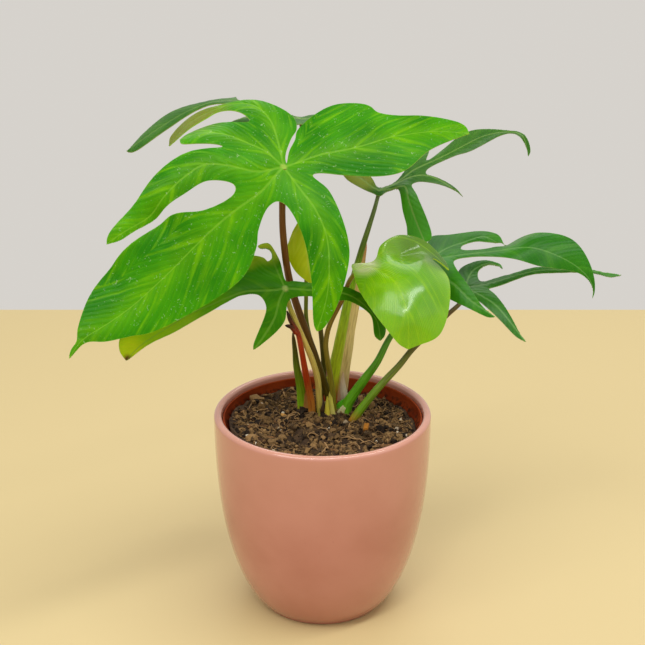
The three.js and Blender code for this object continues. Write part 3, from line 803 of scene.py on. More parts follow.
def soil_material(name, dark, light, grain, roughness=0.95):
    """Moist peat mix and what lies on it: matt, crumbly, each grain its own shade. Peat dust is finer than
    a render can show, so grain, in millimetres, is the size of the crumbs that it clings in."""
    material, tree, shader = new_material(name)
    place = add(tree, "TexCoord").outputs["Object"]
    shade = add(tree, "Attribute", attribute_name="shade").outputs["Fac"]
    fine = add(tree, "TexNoise", {"Vector": place, "Scale": per_mm(grain), "Detail": 6}).outputs["Fac"]
    both = add(tree, "Math", {0: shade, 1: fine}, operation="ADD").outputs[0]
    tree.links.new(tint(tree, dark, light, both, 0.5, 1.5), shader.inputs["Base Color"])
    bump = add(tree, "Bump", {"Height": fine, "Strength": 0.8, "Distance": 0.4 * MM})
    tree.links.new(bump.outputs[0], shader.inputs["Normal"])
    shader.inputs["Roughness"].default_value = roughness
    shader.inputs["Specular IOR Level"].default_value = 0.3
    return material


def soil_height(x, y):
    """Height of the soil's surface: a low mound with clods, banked against the rim at the front left."""
    reach = nursery_radius(SOIL_EDGE)
    r = min(1, math.hypot(x, y) / reach)
    mound = SOIL_EDGE + (GROUND - SOIL_EDGE) * math.cos(r * math.pi / 2) ** 2
    facing = 0.5 + 0.5 * math.cos(math.atan2(y, x) - math.radians(BANK_WAY))
    bank = BANK_RISE * facing * max(0, (r - 0.55) / 0.45) ** 1.5
    lumps = noise.fractal(Vector((x, y, 3)) / 12, 1, 2, 4) * 2.3
    crumbs = noise.fractal(Vector((x, y, 9)) / 3, 1, 2, 3) * 0.9
    return mound + bank + lumps + crumbs - 1.0


def make_soil():
    """The potting mix that fills the nursery pot, with its rough top."""
    low = NURSERY_LOW + NURSERY_WALL + GAP
    reach = nursery_radius(SOIL_EDGE) - GAP
    rings = [reach * (1 - i / SOIL_RINGS) for i in range(SOIL_RINGS)]
    profile = [(0, low), (nursery_radius(low) - GAP, low)]
    profile += [(r, SOIL_EDGE) for r in rings] + [(0, SOIL_EDGE)]
    bm = turned(profile, SOIL_SIDES)
    shade = bm.verts.layers.float.new("shade")
    for vert in bm.verts:
        if vert.co.z > SOIL_EDGE - 0.01:
            vert.co.z = soil_height(vert.co.x, vert.co.y)
            vert[shade] = 0.5 + 0.5 * noise.noise(vert.co / 3)
    peat = soil_material("peat_mix", "#22170d", "#5a442f", 0.9)
    return as_piece("soil_body", bm, [peat], ["soil"])


def scatter(name, count, shapes, sizes, material, reach, sink, seed, squash=(1, 1, 1), place=(0, 0)):
    """Many small lumps on the soil as one piece. Each is a copy of one of a few shapes, and sink is the
    share of it that the soil hides."""
    draw = random.Random(seed)
    whole = bmesh.new()
    shade = whole.verts.layers.float.new("shade")
    for _ in range(count):
        r = reach * math.sqrt(draw.random())
        turn = draw.uniform(0, 2 * math.pi)
        x, y = place[0] + r * math.cos(turn), place[1] + r * math.sin(turn)
        size = sizes[0] + (sizes[1] - sizes[0]) * draw.random() ** 2.2
        spin = Matrix.Rotation(draw.uniform(0, 6.28), 4, "Z")
        tilt = Matrix.Rotation(draw.gauss(0, 0.5), 4, "X")
        stretch = [size * s * draw.uniform(0.7, 1.3) for s in squash]
        tone = draw.random()
        shape = draw.choice(shapes)
        height = soil_height(x, y) + stretch[2] * (0.5 - sink)
        pose = Matrix.Translation((x, y, height)) @ spin @ tilt @ Matrix.Diagonal(stretch + [1])
        start = len(whole.verts)
        whole.from_mesh(shape)
        whole.verts.ensure_lookup_table()
        fresh = whole.verts[start:]
        for vert in fresh:
            vert[shade] = tone
        bmesh.ops.transform(whole, matrix=pose, verts=fresh)
    return as_piece(name, whole, [material], sharp=50)


def lump_shapes(seed, subdivisions, rough):
    """Eight knobbly lumps of about unit size."""
    shapes = []
    for i in range(8):
        bm = bmesh.new()
        bmesh.ops.create_icosphere(bm, subdivisions=subdivisions, radius=0.5)
        for vert in bm.verts:
            push = noise.noise(vert.co * 2.3 + Vector((seed, i, 0)) * 7)
            vert.co *= 1 + rough * push
        mesh = bpy.data.meshes.new("lump")
        bm.to_mesh(mesh)
        bm.free()
        shapes.append(mesh)
    return shapes


def chip_shapes(seed):
    """Six flat splintered chips of about unit length."""
    shapes = []
    draw = random.Random(seed)
    for _ in range(6):
        bm = bmesh.new()
        bmesh.ops.create_cube(bm, size=1)
        bmesh.ops.bevel(bm, geom=bm.edges[:], offset=0.16, affect="EDGES", segments=2, profile=0.5,
                        material=-1)
        for vert in bm.verts:
            vert.co += Vector((draw.uniform(-1, 1), draw.uniform(-1, 1), draw.uniform(-1, 1))) * 0.07
        mesh = bpy.data.meshes.new("chip")
        bm.to_mesh(mesh)
        bm.free()
        shapes.append(mesh)
    return shapes


def make_fibres(name, count, material, reach, seed):
    """Short curling coir fibres lying on the soil: thin threads that rise in the middle."""
    draw = random.Random(seed)
    bm = bmesh.new()
    shade = bm.verts.layers.float.new("shade")
    for _ in range(count):
        r = reach * math.sqrt(draw.uniform(0.02, 0.95))
        turn = draw.uniform(0, 6.28)
        x, y, way = r * math.cos(turn), r * math.sin(turn), draw.uniform(0, 6.28)
        length, curl, girth = draw.uniform(4, 17), draw.gauss(0, 0.16), draw.uniform(0.15, 0.42)
        rise, tone = draw.uniform(0.2, 2.2), draw.random()
        path = []
        for i in range(FIBRE_STATIONS + 1):
            if math.hypot(x, y) > reach:
                break
            lift = rise * math.sin(math.pi * i / FIBRE_STATIONS)
            path.append((x, y, soil_height(x, y) + girth + lift))
            x += math.cos(way) * length / FIBRE_STATIONS
            y += math.sin(way) * length / FIBRE_STATIONS
            way += curl
        if len(path) < 4:
            continue
        ways = np.gradient(np.array(path), axis=0)
        disc = bmesh.ops.create_circle(bm, cap_ends=True, segments=FIBRE_SIDES, radius=1)["verts"]
        face = disc[0].link_faces[0]
        ring = [v.co.copy() for v in disc]
        for i, point in enumerate(path):
            if i:
                grown = bmesh.ops.extrude_face_region(bm, geom=[face])["geom"]
                face = next(g for g in grown if isinstance(g, bmesh.types.BMFace))
                disc = [g for g in grown if isinstance(g, bmesh.types.BMVert)]
            turned_to = Vector(ways[i]).to_track_quat("Z", "Y")
            for vert, corner in zip(disc, ring):
                vert.co = Vector(point) + turned_to @ (corner * girth)
                vert[shade] = tone
    bmesh.ops.recalc_face_normals(bm, faces=bm.faces[:])
    return as_piece(name, bm, [material])


def make_crown():
    """The knobbly crown from which the stems rise, just proud of the soil."""
    low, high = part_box("crown")
    middle, half = (low + high) / 2 / MM, (high - low) / 2 / MM
    bm = bmesh.new()
    bmesh.ops.create_icosphere(bm, subdivisions=4, radius=1)
    shade = bm.verts.layers.float.new("shade")
    for vert in bm.verts:
        knob = noise.fractal(vert.co * 2.2, 1, 2, 4)
        vert[shade] = 0.5 + 0.6 * knob
        vert.co *= 1 + 0.16 * knob
    bmesh.ops.scale(bm, verts=bm.verts, vec=half)
    bmesh.ops.translate(bm, verts=bm.verts, vec=middle)
    bark = soil_material("crown_bark", "#5a4a22", "#b8b070", 1.6, 0.7)
    return as_piece("crown_stub", bm, [bark], ["crown"])


# ---------------------------------------------------------------- stems


def stalk(bm, stem, top, step=2.2):
    """Adds a tapering stem to a bmesh: a disc extruded from station to station down its route. The fibre
    attribute is the place round the section and the way down, and share runs from 0 to 1."""
    fibre = bm.verts.layers.float_vector.get("fibre") or bm.verts.layers.float_vector.new("fibre")
    share = bm.verts.layers.float.get("share") or bm.verts.layers.float.new("share")
    route = [(x, y, GROUND + z) for x, y, z in stem["route"]]
    path = spline(([top] if top is not None else []) + route, step)
    run = np.concatenate([[0], np.cumsum(np.linalg.norm(np.diff(path, axis=0), axis=1))])
    ways = np.gradient(path, axis=0)
    flat, cup = stem.get("flat", 1), stem.get("cup", 0)
    seed = Vector(path[0]) * 0.37
    disc = bmesh.ops.create_circle(bm, cap_ends=True, segments=STEM_SIDES, radius=1)["verts"]
    for vert in disc:
        vert[fibre] = vert.co
    face = disc[0].link_faces[0]
    for i, point in enumerate(path):
        if i:
            grown = bmesh.ops.extrude_face_region(bm, geom=[face])["geom"]
            disc = [g for g in grown if isinstance(g, bmesh.types.BMVert)]
            face = next(g for g in grown if isinstance(g, bmesh.types.BMFace))
        t = run[i] / run[-1]
        way = Vector(ways[i]).normalized()
        wide = (Vector((1, 0, 0)) - way * way.x).normalized()
        deep = way.cross(wide)
        girth = stem["radius"][0] + (stem["radius"][1] - stem["radius"][0]) * t ** stem.get("fill", 1)
        if top is not None:
            girth *= 1 + JOINT_SWELL * math.exp(-run[i] / JOINT_LENGTH)
        elif i < len(TIP_GIRTH):
            girth *= TIP_GIRTH[i]
        girth *= 1 + 0.05 * noise.noise(seed + Vector((0, 0, run[i] / 9)))
        for vert in disc:
            x, y = vert[fibre].x, vert[fibre].y
            ridge = 1 + 0.03 * noise.noise(Vector((x * 3, y * 3, run[i] / 30)) + seed)
            bend = cup * (x * x - 0.5)
            spot = Vector(point) + wide * (x * girth * ridge) + deep * ((y * flat + bend) * girth * ridge)
            vert.co = spot
            vert[fibre] = (x, y, run[i])
            vert[share] = t * stem.get("share", 1)


def stem_material(name, hues):
    """Smooth living stem skin: waxy, with lengthwise streaks and a few darker flecks. The real streaks are
    about 0.2 mm apart, and are drawn about five times as far apart so that they show."""
    material, tree, shader = new_material(name)
    share = add(tree, "Attribute", attribute_name="share").outputs["Fac"]
    fibre = add(tree, "Attribute", attribute_name="fibre").outputs["Vector"]
    stretched = add(tree, "VectorMath", {0: fibre, 1: (2.2, 2.2, 0.05)}, operation="MULTIPLY").outputs[0]
    streak = add(tree, "TexNoise", {"Vector": stretched, "Scale": 2.0, "Detail": 3}).outputs["Fac"]
    fleck_at = add(tree, "VectorMath", {0: fibre, 1: (1.2, 1.2, 0.7)}, operation="MULTIPLY").outputs[0]
    fleck = add(tree, "TexNoise", {"Vector": fleck_at, "Scale": 2.4, "Detail": 2}).outputs["Fac"]
    wander = add(tree, "Math", {0: streak, 1: 0.12}, operation="MULTIPLY").outputs[0]
    along = add(tree, "Math", {0: share, 1: wander}, operation="ADD").outputs[0]
    along = add(tree, "Math", {0: along, 1: 0.06}, operation="SUBTRACT").outputs[0]
    colour = add(tree, "ValToRGB", {0: along}, stops=hues).outputs[0]
    lighter = add(tree, "Mix", {0: 0.3, 6: colour, 7: "#b8b860"}, data_type="RGBA",
                  blend_type="SCREEN").outputs[2]
    darker = add(tree, "Mix", {0: 0.5, 6: colour, 7: "#a89468"}, data_type="RGBA",
                 blend_type="MULTIPLY").outputs[2]
    colour = tint(tree, darker, colour, streak, 0.3, 0.6)
    colour = tint(tree, colour, lighter, streak, 0.55, 0.8, 0, 0.45)
    colour = tint(tree, colour, darker, fleck, 0.68, 0.78, 0, 0.5)
    tree.links.new(colour, shader.inputs["Base Color"])
    bump = add(tree, "Bump", {"Height": streak, "Strength": 0.35, "Distance": 0.25 * MM})
    tree.links.new(bump.outputs[0], shader.inputs["Normal"])
    shader.inputs["Roughness"].default_value = 0.42
    shader.inputs["Specular IOR Level"].default_value = 0.3
    shader.inputs["Subsurface Weight"].default_value = 0.12
    shader.inputs["Subsurface Radius"].default_value = (0.6, 0.9, 0.3)
    shader.inputs["Subsurface Scale"].default_value = 1.5 * MM
    return material


# ---------------------------------------------------------------- leaves


def solve_sheet(leaf):
    """Weights of the thin plate spline through the leaf's (a, b, h) points."""
    points = [(0, 0, 0)] + [p for lobe in leaf["lobes"] for p in lobe["rib"]] + list(leaf["swell"])
    points = np.array(points, float)
    flat, heights = points[:, :2], points[:, 2]
    n = len(points)
    system = np.zeros((n + 3, n + 3))
    system[:n, :n] = bending(flat, flat)
    system[:n, n] = system[n, :n] = 1
    system[:n, n + 1 :] = flat
    system[n + 1 :, :n] = flat.T
    weights = np.linalg.solve(system, np.concatenate([heights, np.zeros(3)]))
    return flat, weights


def bending(at, knots):
    """How much each knot of a thin plate spline bends it at each point."""
    square = ((at[:, None, :] - knots[None, :, :]) ** 2).sum(2)
    return square * np.log(np.maximum(square, 1e-9))


def sheet_height(sheet, at):
    """Height of a leaf's sheet over its plane at each point."""
    knots, weights = sheet
    n = len(knots)
    return bending(at, knots) @ weights[:n] + weights[n] + at @ weights[n + 1 :]


def leaf_frame(leaf):
    """Origin and the across, along and normal directions of a leaf's plane."""
    origin = Vector(leaf["at"]) + Vector((0, 0, GROUND))
    normal = Vector(leaf["faces"]).normalized()
    along = Vector(leaf["aim"])
    along = (along - normal * along.dot(normal)).normalized()
    return origin, along.cross(normal), along, normal


def margin_points(leaf):
    """The leaf's margin as one closed row, sharp at each tip."""
    tips = [lobe["rib"][-1][:2] for lobe in leaf["lobes"]]
    row = []
    for i, lobe in enumerate(leaf["lobes"]):
        stretch = [tips[i], *lobe["edge"], tips[(i + 1) % len(tips)]]
        row += list(spline(stretch, MARGIN_STEP)[:-1])
    return np.array(row)


def rib_samples(leaf):
    """For each rib: points a millimetre apart, the way it runs and the distance from the junction."""
    ribs = []
    for lobe in leaf["lobes"]:
        path = spline([(0, 0)] + [p[:2] for p in lobe["rib"]], 1.0)
        ways = np.gradient(path, axis=0)
        ways /= np.linalg.norm(ways, axis=1, keepdims=True)
        run = np.concatenate([[0], np.cumsum(np.linalg.norm(np.diff(path, axis=0), axis=1))])
        ribs.append((path, ways, run))
    return ribs


def rib_place(rib, at):
    """Distance along a rib, signed distance from it, and plain distance, for each point."""
    path, ways, run = rib
    nearest = ((at[:, None, :] - path[None, :, :]) ** 2).sum(2).argmin(1)
    offset = at - path[nearest]
    way = ways[nearest]
    ahead = (offset * way).sum(1)
    aside = way[:, 0] * offset[:, 1] - way[:, 1] * offset[:, 0]
    return run[nearest] + ahead, aside, np.linalg.norm(offset, axis=1)


def plane_mesh(leaf):
    """The flat blade: its outline as one face, cut by a grid of planes into small cells."""
    bm = bmesh.new()
    margin = margin_points(leaf)
    bm.faces.new([bm.verts.new((a, b, 0)) for a, b in margin])
    for axis, way in ((0, (1, 0, 0)), (1, (0, 1, 0))):
        for place in np.arange(margin[:, axis].min() + 0.37, margin[:, axis].max(), BLADE_CELL):
            whole = bm.verts[:] + bm.edges[:] + bm.faces[:]
            bmesh.ops.bisect_plane(bm, geom=whole, dist=1e-4, plane_co=[place * w for w in way],
                                   plane_no=way)
    bmesh.ops.remove_doubles(bm, verts=bm.verts[:], dist=0.05)
    if sum(face.normal.z for face in bm.faces) < 0:
        bmesh.ops.reverse_faces(bm, faces=bm.faces[:])
    return bm, margin


def blade_solid(name, leaf, materials):
    """The flat blade as a thin solid: upper side, underside and cut edge, each with its own material."""
    bm, margin = plane_mesh(leaf)
    grown = bmesh.ops.extrude_face_region(bm, geom=bm.faces[:], use_keep_orig=True)["geom"]
    upper = [g for g in grown if isinstance(g, bmesh.types.BMVert)]
    bmesh.ops.translate(bm, verts=upper, vec=(0, 0, 1))
    bmesh.ops.recalc_face_normals(bm, faces=bm.faces[:])
    for face in bm.faces:
        level = sum(v.co.z for v in face.verts) / len(face.verts)
        face.material_index = 0 if level > 0.99 else 1 if level < 0.01 else 2
        face.smooth = True
    for edge in bm.edges:
        if len({f.material_index for f in edge.link_faces}) > 1:
            edge.smooth = False
    mesh = bpy.data.meshes.new(name)
    bm.to_mesh(mesh)
    bm.free()
    for material in materials:
        mesh.materials.append(material)
    return mesh, margin


def on_sheet(leaf, at, rise, lift):
    """Where points (a, b) of a leaf lie in space: a rise above its sheet, then a lift along the normal."""
    sheet = solve_sheet(leaf)
    height = sheet_height(sheet, at) + rise
    step = 0.4
    slope_a = sheet_height(sheet, at + (step, 0)) - sheet_height(sheet, at - (step, 0))
    slope_b = sheet_height(sheet, at + (0, step)) - sheet_height(sheet, at - (0, step))
    normal = np.stack([-slope_a / (2 * step), -slope_b / (2 * step), np.ones(len(at))], 1)
    normal /= np.linalg.norm(normal, axis=1, keepdims=True)
    local = np.column_stack([at, height]) + normal * lift[:, None]
    origin, across_way, along_way, up_way = leaf_frame(leaf)
    turn = np.array([across_way, along_way, up_way])
    return (np.array(origin) + local @ turn) * MM


def mark_veins(mesh, at, edge, ribs, places):
    """The veins attribute: at each corner, the way along the face's own rib, off it, and to the margin."""
    corners = np.zeros(len(mesh.loops), int)
    mesh.loops.foreach_get("vertex_index", corners)
    counts = np.zeros(len(mesh.polygons), int)
    mesh.polygons.foreach_get("loop_total", counts)
    owner = np.repeat(np.arange(len(counts)), counts)
    face_sum = np.array([np.bincount(owner, at[corners, k]) for k in (0, 1)]).T
    centre = face_sum / counts[:, None]
    face_rib = np.array([rib_place(rib, centre)[2] for rib in ribs]).argmin(0)[owner]
    runs = places[face_rib, 0, corners]
    asides = places[face_rib, 1, corners]
    veins = mesh.attributes.new("veins", "FLOAT_VECTOR", "CORNER")
    veins.data.foreach_set("vector", np.stack([runs, asides, edge[corners]], 1).ravel())


def mark_stains_and_painted_light(mesh, at, stains_and_painted_light):
    """The patch attribute: at each point, the colour of the leaf's stains and its painted shade and sheen,
    and how strong they are.
    """
    patch = np.zeros((len(at), 4))
    for a, b, radius, hue in stains_and_painted_light:
        amount = np.clip(1.4 - np.hypot(at[:, 0] - a, at[:, 1] - b) / radius, 0, 1)[:, None]
        amount = amount * amount * (3 - 2 * amount)
        under = patch[:, 3:] * (1 - amount)
        stained_and_painted = np.array(linear(hue)[:3]) * amount + patch[:, :3] * under
        patch[:, 3:] = amount + under
        patch[:, :3] = stained_and_painted / np.maximum(patch[:, 3:], 1e-6)
    stain_and_painted_light = mesh.attributes.new("patch", "FLOAT_COLOR", "POINT")
    stain_and_painted_light.data.foreach_set("color", patch.ravel())


def make_blade(name, leaf, materials, node, relief, stains_and_painted_light):
    """A leaf blade bent onto the leaf's sheet, with sunk ribs above and raised ones below."""
    mesh, margin = blade_solid(name, leaf, materials)
    flat = np.zeros(len(mesh.vertices) * 3)
    mesh.vertices.foreach_get("co", flat)
    flat = flat.reshape(-1, 3)
    at, above = flat[:, :2], flat[:, 2] > 0.5
    ribs = rib_samples(leaf)
    places = np.array([rib_place(rib, at) for rib in ribs])
    nearest = places[:, 2].argmin(0)
    run, _, dist = places[nearest, :, np.arange(len(at))].T
    edge = np.sqrt(((at[:, None, :] - margin[None, :, :]) ** 2).sum(2).min(1))
    across = dist / np.maximum(dist + edge, 0.01)

    seed = Vector(leaf["at"]) * 0.1
    wave = [noise.noise(Vector((a / WAVE_LENGTH, b / WAVE_LENGTH, 0)) + seed) for a, b in at]
    phase = (run - VEIN_LEAN * dist - VEIN_CURVE * dist**2) / relief["spacing"]
    quilt = np.cos(2 * np.pi * phase) * np.clip(across * (1 - across) * 4, 0, 1)
    rise = relief["fold"] * (1 - np.exp(-dist / FOLD_REACH)) - relief["droop"] * across**2
    rise += relief["quilt"] * quilt + relief["wave"] * np.array(wave) * across
    slim = 1 / (1 + run / RIB_TAPER)
    groove = GROOVE_DEPTH * np.exp(-((dist / GROOVE_WIDTH) ** 2)) * slim
    proud = RIB_PROUD * np.exp(-((dist / (0.5 + 0.9 * slim)) ** 2)) * slim
    half = BLADE_THICKNESS / 2
    lift = np.where(above, half - groove, -half - proud)
    mesh.vertices.foreach_set("co", on_sheet(leaf, at, rise, lift).ravel())

    mark_stains_and_painted_light(mesh, at, stains_and_painted_light)
    mark_veins(mesh, at, edge, ribs, places)
    mesh.update()
    return finish_piece(bpy.data.objects.new(name, mesh), [node])


def vein_pattern(tree, look):
    """What a leaf's colours are drawn from: the place, the way along the nearest rib (run), off it (dist)
    and in from the margin, a slow cloud, the sweep of the side veins, and the wave across them."""
    veins = add(tree, "Attribute", attribute_name="veins").outputs["Vector"]
    parts = add(tree, "SeparateXYZ", {0: veins}).outputs
    dist = add(tree, "Math", {0: parts["Y"]}, operation="ABSOLUTE").outputs[0]
    place = add(tree, "TexCoord").outputs["Object"]
    cloud = add(tree, "TexNoise", {"Vector": place, "Scale": per_mm(30), "Detail": 2}).outputs["Fac"]
    lean = {0: dist, 1: VEIN_CURVE, 2: look["sweep"]}
    curve = add(tree, "Math", lean, operation="MULTIPLY_ADD").outputs[0]
    sweep = add(tree, "Math", {0: dist, 1: curve}, operation="MULTIPLY").outputs[0]
    swept = add(tree, "Math", {0: parts["X"], 1: sweep}, operation="SUBTRACT").outputs[0]
    swept = add(tree, "Math", {0: cloud, 1: 9.0, 2: swept}, operation="MULTIPLY_ADD").outputs[0]
    phase = add(tree, "Math", {0: swept, 1: look["spacing"]}, operation="DIVIDE").outputs[0]
    wave = add(tree, "Math", {0: phase, 1: 1.0}, operation="PINGPONG").outputs[0]
    return {"place": place, "run": parts["X"], "dist": dist, "margin": parts["Z"], "cloud": cloud,
            "sweep": sweep, "swept": swept, "wave": wave}


def leaf_flesh(shader):
    """A little light passes through a leaf, most of it green."""
    shader.inputs["Subsurface Weight"].default_value = 0.25
    shader.inputs["Subsurface Radius"].default_value = (0.5, 1.0, 0.1)
    shader.inputs["Subsurface Scale"].default_value = 1.2 * MM


def blade_material(name, look):
    """The upper skin of a leaf: waxy green, a slim paler midrib, soft side veins that sweep forwards, lime
    flames between them, and a few stains of its own, with painted shade and a painted sheen on some leaves.
    A leaf's cells are under 0.1 mm and its veins about 1 mm apart, and both are drawn about 2 mm apart so
    that they show."""
    material, tree, shader = new_material(name)
    veins = vein_pattern(tree, look)
    place, dist, wave = veins["place"], veins["dist"], veins["wave"]
    mottle = add(tree, "TexNoise", {"Vector": place, "Scale": per_mm(7), "Detail": 4}).outputs["Fac"]
    flow = add(tree, "CombineXYZ", {0: veins["swept"], 1: veins["sweep"]}).outputs[0]
    flow = add(tree, "VectorMath", {0: flow, 1: (0.12, 0.028, 0)}, operation="MULTIPLY").outputs[0]
    flame = add(tree, "TexNoise", {"Vector": flow, "Scale": 1.0, "Detail": 3, "Distortion": 0.3})

    colour = tint(tree, look["dark"], look["mid"], veins["cloud"], 0.35, 0.65)
    colour = tint(tree, colour, look["light"], flame.outputs["Fac"], 0.48, 0.7, 0, look["flame"])
    colour = tint(tree, colour, look["light"], dist, 0.5, 10, look["glow"], 0)
    colour = tint(tree, colour, look["dark"], mottle, 0.35, 0.7, 0.2, 0)
    colour = tint(tree, colour, look["dark"], wave, 0.2, 1.0, 0, look["ripple"])
    colour = tint(tree, colour, look["light"], wave, 0.0, 0.2, look["vein"], 0)
    # The patch attribute lays on the leaf's stains and its painted shade and painted sheen.
    stain_and_painted_light = add(tree, "Attribute", attribute_name="patch").outputs
    stained_and_painted = add(tree, "Mix", {0: stain_and_painted_light["Alpha"], 6: colour, 7: stain_and_painted_light["Color"]}, data_type="RGBA")
    colour = stained_and_painted.outputs[2]
    taper = add(tree, "MapRange", {0: veins["run"], 1: 0, 2: 100, 3: 1.0, 4: 0.4},
                interpolation_type="SMOOTHSTEP").outputs[0]
    slim = add(tree, "Math", {0: dist, 1: taper}, operation="DIVIDE").outputs[0]
    colour = tint(tree, colour, look["rib"], slim, 0.3, 0.9, look["midrib"], 0)
    colour = tint(tree, colour, look["edge"], veins["margin"], 0.05, 0.5, look["rim"], 0)
    dust = add(tree, "TexNoise", {"Vector": place, "Scale": per_mm(2.2), "Detail": 3, "Distortion": 1.5})
    colour = tint(tree, colour, "#a9bf92", dust.outputs["Fac"], 0.64, 0.72, 0, look["dust"])
    tree.links.new(colour, shader.inputs["Base Color"])

    leather = add(tree, "TexNoise", {"Vector": place, "Scale": per_mm(2), "Detail": 2}).outputs["Fac"]
    skin = add(tree, "Bump", {"Height": leather, "Strength": 0.12, "Distance": 0.2 * MM})
    ribs = add(tree, "Bump", {"Height": wave, "Strength": look["bump"], "Distance": 0.45 * MM,
                              "Normal": skin.outputs[0]})
    tree.links.new(ribs.outputs[0], shader.inputs["Normal"])
    shader.inputs["Roughness"].default_value = look["roughness"]
    shader.inputs["Specular IOR Level"].default_value = look["shine"]
    shader.inputs["Coat Weight"].default_value = look["coat"]
    shader.inputs["Coat Roughness"].default_value = 0.17
    leaf_flesh(shader)
    return material


def underside_material(name, look):
    """The underside of a leaf: paler, matt, with the ribs standing out."""
    material, tree, shader = new_material(name)
    veins = vein_pattern(tree, look)
    colour = tint(tree, look["under"], look["under_light"], veins["cloud"], 0.3, 0.7)
    colour = tint(tree, colour, look["rib"], veins["wave"], 0.0, 0.2, 0.25, 0)
    colour = tint(tree, colour, look["rib"], veins["dist"], 0.5, 1.6, 0.7, 0)
    tree.links.new(colour, shader.inputs["Base Color"])
    bump = add(tree, "Bump", {"Height": veins["wave"], "Strength": 0.4, "Distance": 0.4 * MM}, invert=True)
    tree.links.new(bump.outputs[0], shader.inputs["Normal"])
    shader.inputs["Roughness"].default_value = 0.5
    shader.inputs["Specular IOR Level"].default_value = 0.3
    leaf_flesh(shader)
    return material


def edge_material(name, look):
    """The cut edge of a leaf: thin, clear yellow-green."""
    material, tree, shader = new_material(name)
    place = add(tree, "TexCoord").outputs["Object"]
    cloud = add(tree, "TexNoise", {"Vector": place, "Scale": per_mm(12), "Detail": 2}).outputs["Fac"]
    skin = add(tree, "Mix", {0: cloud, 6: look["edge"], 7: look["light"]}, data_type="RGBA")
    tree.links.new(skin.outputs[2], shader.inputs["Base Color"])
    shader.inputs["Roughness"].default_value = 0.5
    return material


# The look of a plain green leaf, and how each leaf differs from it. dark, mid and light are its greens,
# and under and under_light are those below. flame, glow, vein, midrib, rim, dust and ripple are how
# strongly each of them shows. shine is the wax's specular level, and spacing, in millimetres, and sweep
# are how far apart the side veins are and how steeply they run forwards.
GREEN = {
    "dark": "#227200", "mid": "#3c8e00", "light": "#84be00", "rib": "#78b02c", "edge": "#98be3c",
    "under": "#648c28", "under_light": "#7fa038", "flame": 0.45, "glow": 0.2, "vein": 0.08,
    "midrib": 0.5, "rim": 0.3, "dust": 0.0, "ripple": 0.1, "bump": 0.22, "roughness": 0.38,
    "shine": 0.09, "coat": 0.0, "spacing": 2.3, "sweep": 1.25,
}
LOOKS = {
    "front": {"dust": 0.45, "spacing": 3.2, "sweep": 2.2},
    "low_left": {"dark": "#286a00", "mid": "#3a8202", "light": "#6a9e0e", "rib": "#6f9e34",
                 "edge": "#6fa52a", "flame": 0.3, "glow": 0.1},
    "lime": {"dark": "#5c9800", "mid": "#7ab200", "light": "#a4cc00", "rib": "#9ccc10",
             "edge": "#b4d020", "under": "#7c9a0c", "under_light": "#93b018", "flame": 0.3,
             "glow": 0.1, "vein": 0.05, "midrib": 0.22, "rim": 0.25, "ripple": 0.05, "bump": 0.28,
             "roughness": 0.3, "shine": 0.1, "coat": 0.7, "spacing": 2.0, "sweep": 3.5},
    "right": {"dark": "#1a6400", "mid": "#2e7806", "light": "#549414", "rib": "#6a9a4a",
              "edge": "#7fa848", "flame": 0.3, "glow": 0.1, "shine": 0.18},
    "far_right": {"dark": "#226410", "mid": "#347618", "light": "#589030", "rib": "#74a058",
                  "edge": "#88aa58", "flame": 0.3, "glow": 0.1, "shine": 0.22},
    "top_right": {"dark": "#245c0c", "mid": "#366a14", "light": "#56842a", "rib": "#7c9c4c",
                  "edge": "#8ca650", "flame": 0.3, "glow": 0.1, "shine": 0.22},
    "top_left": {"dark": "#225c08", "mid": "#346c10", "light": "#568420", "rib": "#7f9e42",
                 "edge": "#98a850", "flame": 0.3, "glow": 0.1, "shine": 0.25},
    "inner_lime": {"dark": "#a4b804", "mid": "#b8cc10", "light": "#cfdc40", "rib": "#bccc50",
                   "edge": "#ccd070", "flame": 0.5, "glow": 0.3, "vein": 0.1},
}
# Stains, painted shade and painted sheen: place (a, b) in the leaf, radius and hue.
STAINS_AND_PAINTED_LIGHT = {
    # The two olive patches at (66, 12) and (72, 28) on the front leaf's upper-left lobe are painted shade,
    # and stand also for the olive underside of a lobe turned over.
    "front": [(66, 12, 20, "#6c7a04"), (72, 28, 16, "#6c7a04"), (0, 0, 1.8, "#9cae4c")],
    "low_left": [(5, 50, 20, "#5c9a0e"), (4, 68, 16, "#84b018"), (3, 84, 14, "#88b40c"),
                 (2, 98, 9, "#acc40e"), (30, -2, 11, "#a4b82c"),
                 (26, 12, 7, "#7c9c14"), (0, 0, 1.7, "#a4ae6c"), (-1, 101, 2.6, "#5c3416")],
    # On the lime leaf the dark greens at (-42, 4) and (-49, 16) are painted shade in the fold between its
    # lobes, and the pale grey-green at (-5, 0) is a painted sheen.
    "lime": [(-42, 4, 17, "#548000"), (-49, 16, 9, "#3e6c00"), (-22, -6, 9, "#6a9a14"),
             (-5, 0, 8, "#a4b270")],
    "top_right": [(22, 16, 15, "#3c8a08"), (36, 17, 12, "#3c8a08"), (-14, -9, 12, "#76841c")],
    "right": [(6, 4, 10, "#4c8440")],
}


# Height in millimetres of a blade's folds, droop at the margin, quilting and waves, and how far apart the
# quilted side veins are.
RELIEF = {"fold": 0.6, "droop": 0.8, "quilt": 0.1, "wave": 0.8, "spacing": 4.6}
SMOOTH_RELIEF = {"fold": 0.2, "droop": 0.6, "quilt": 0.03, "wave": 0.4, "spacing": 3}


# ---------------------------------------------------------------- put it together

make_outer_pot()
make_nursery_pot()
make_soil()

reach = nursery_radius(SOIL_EDGE) - 2
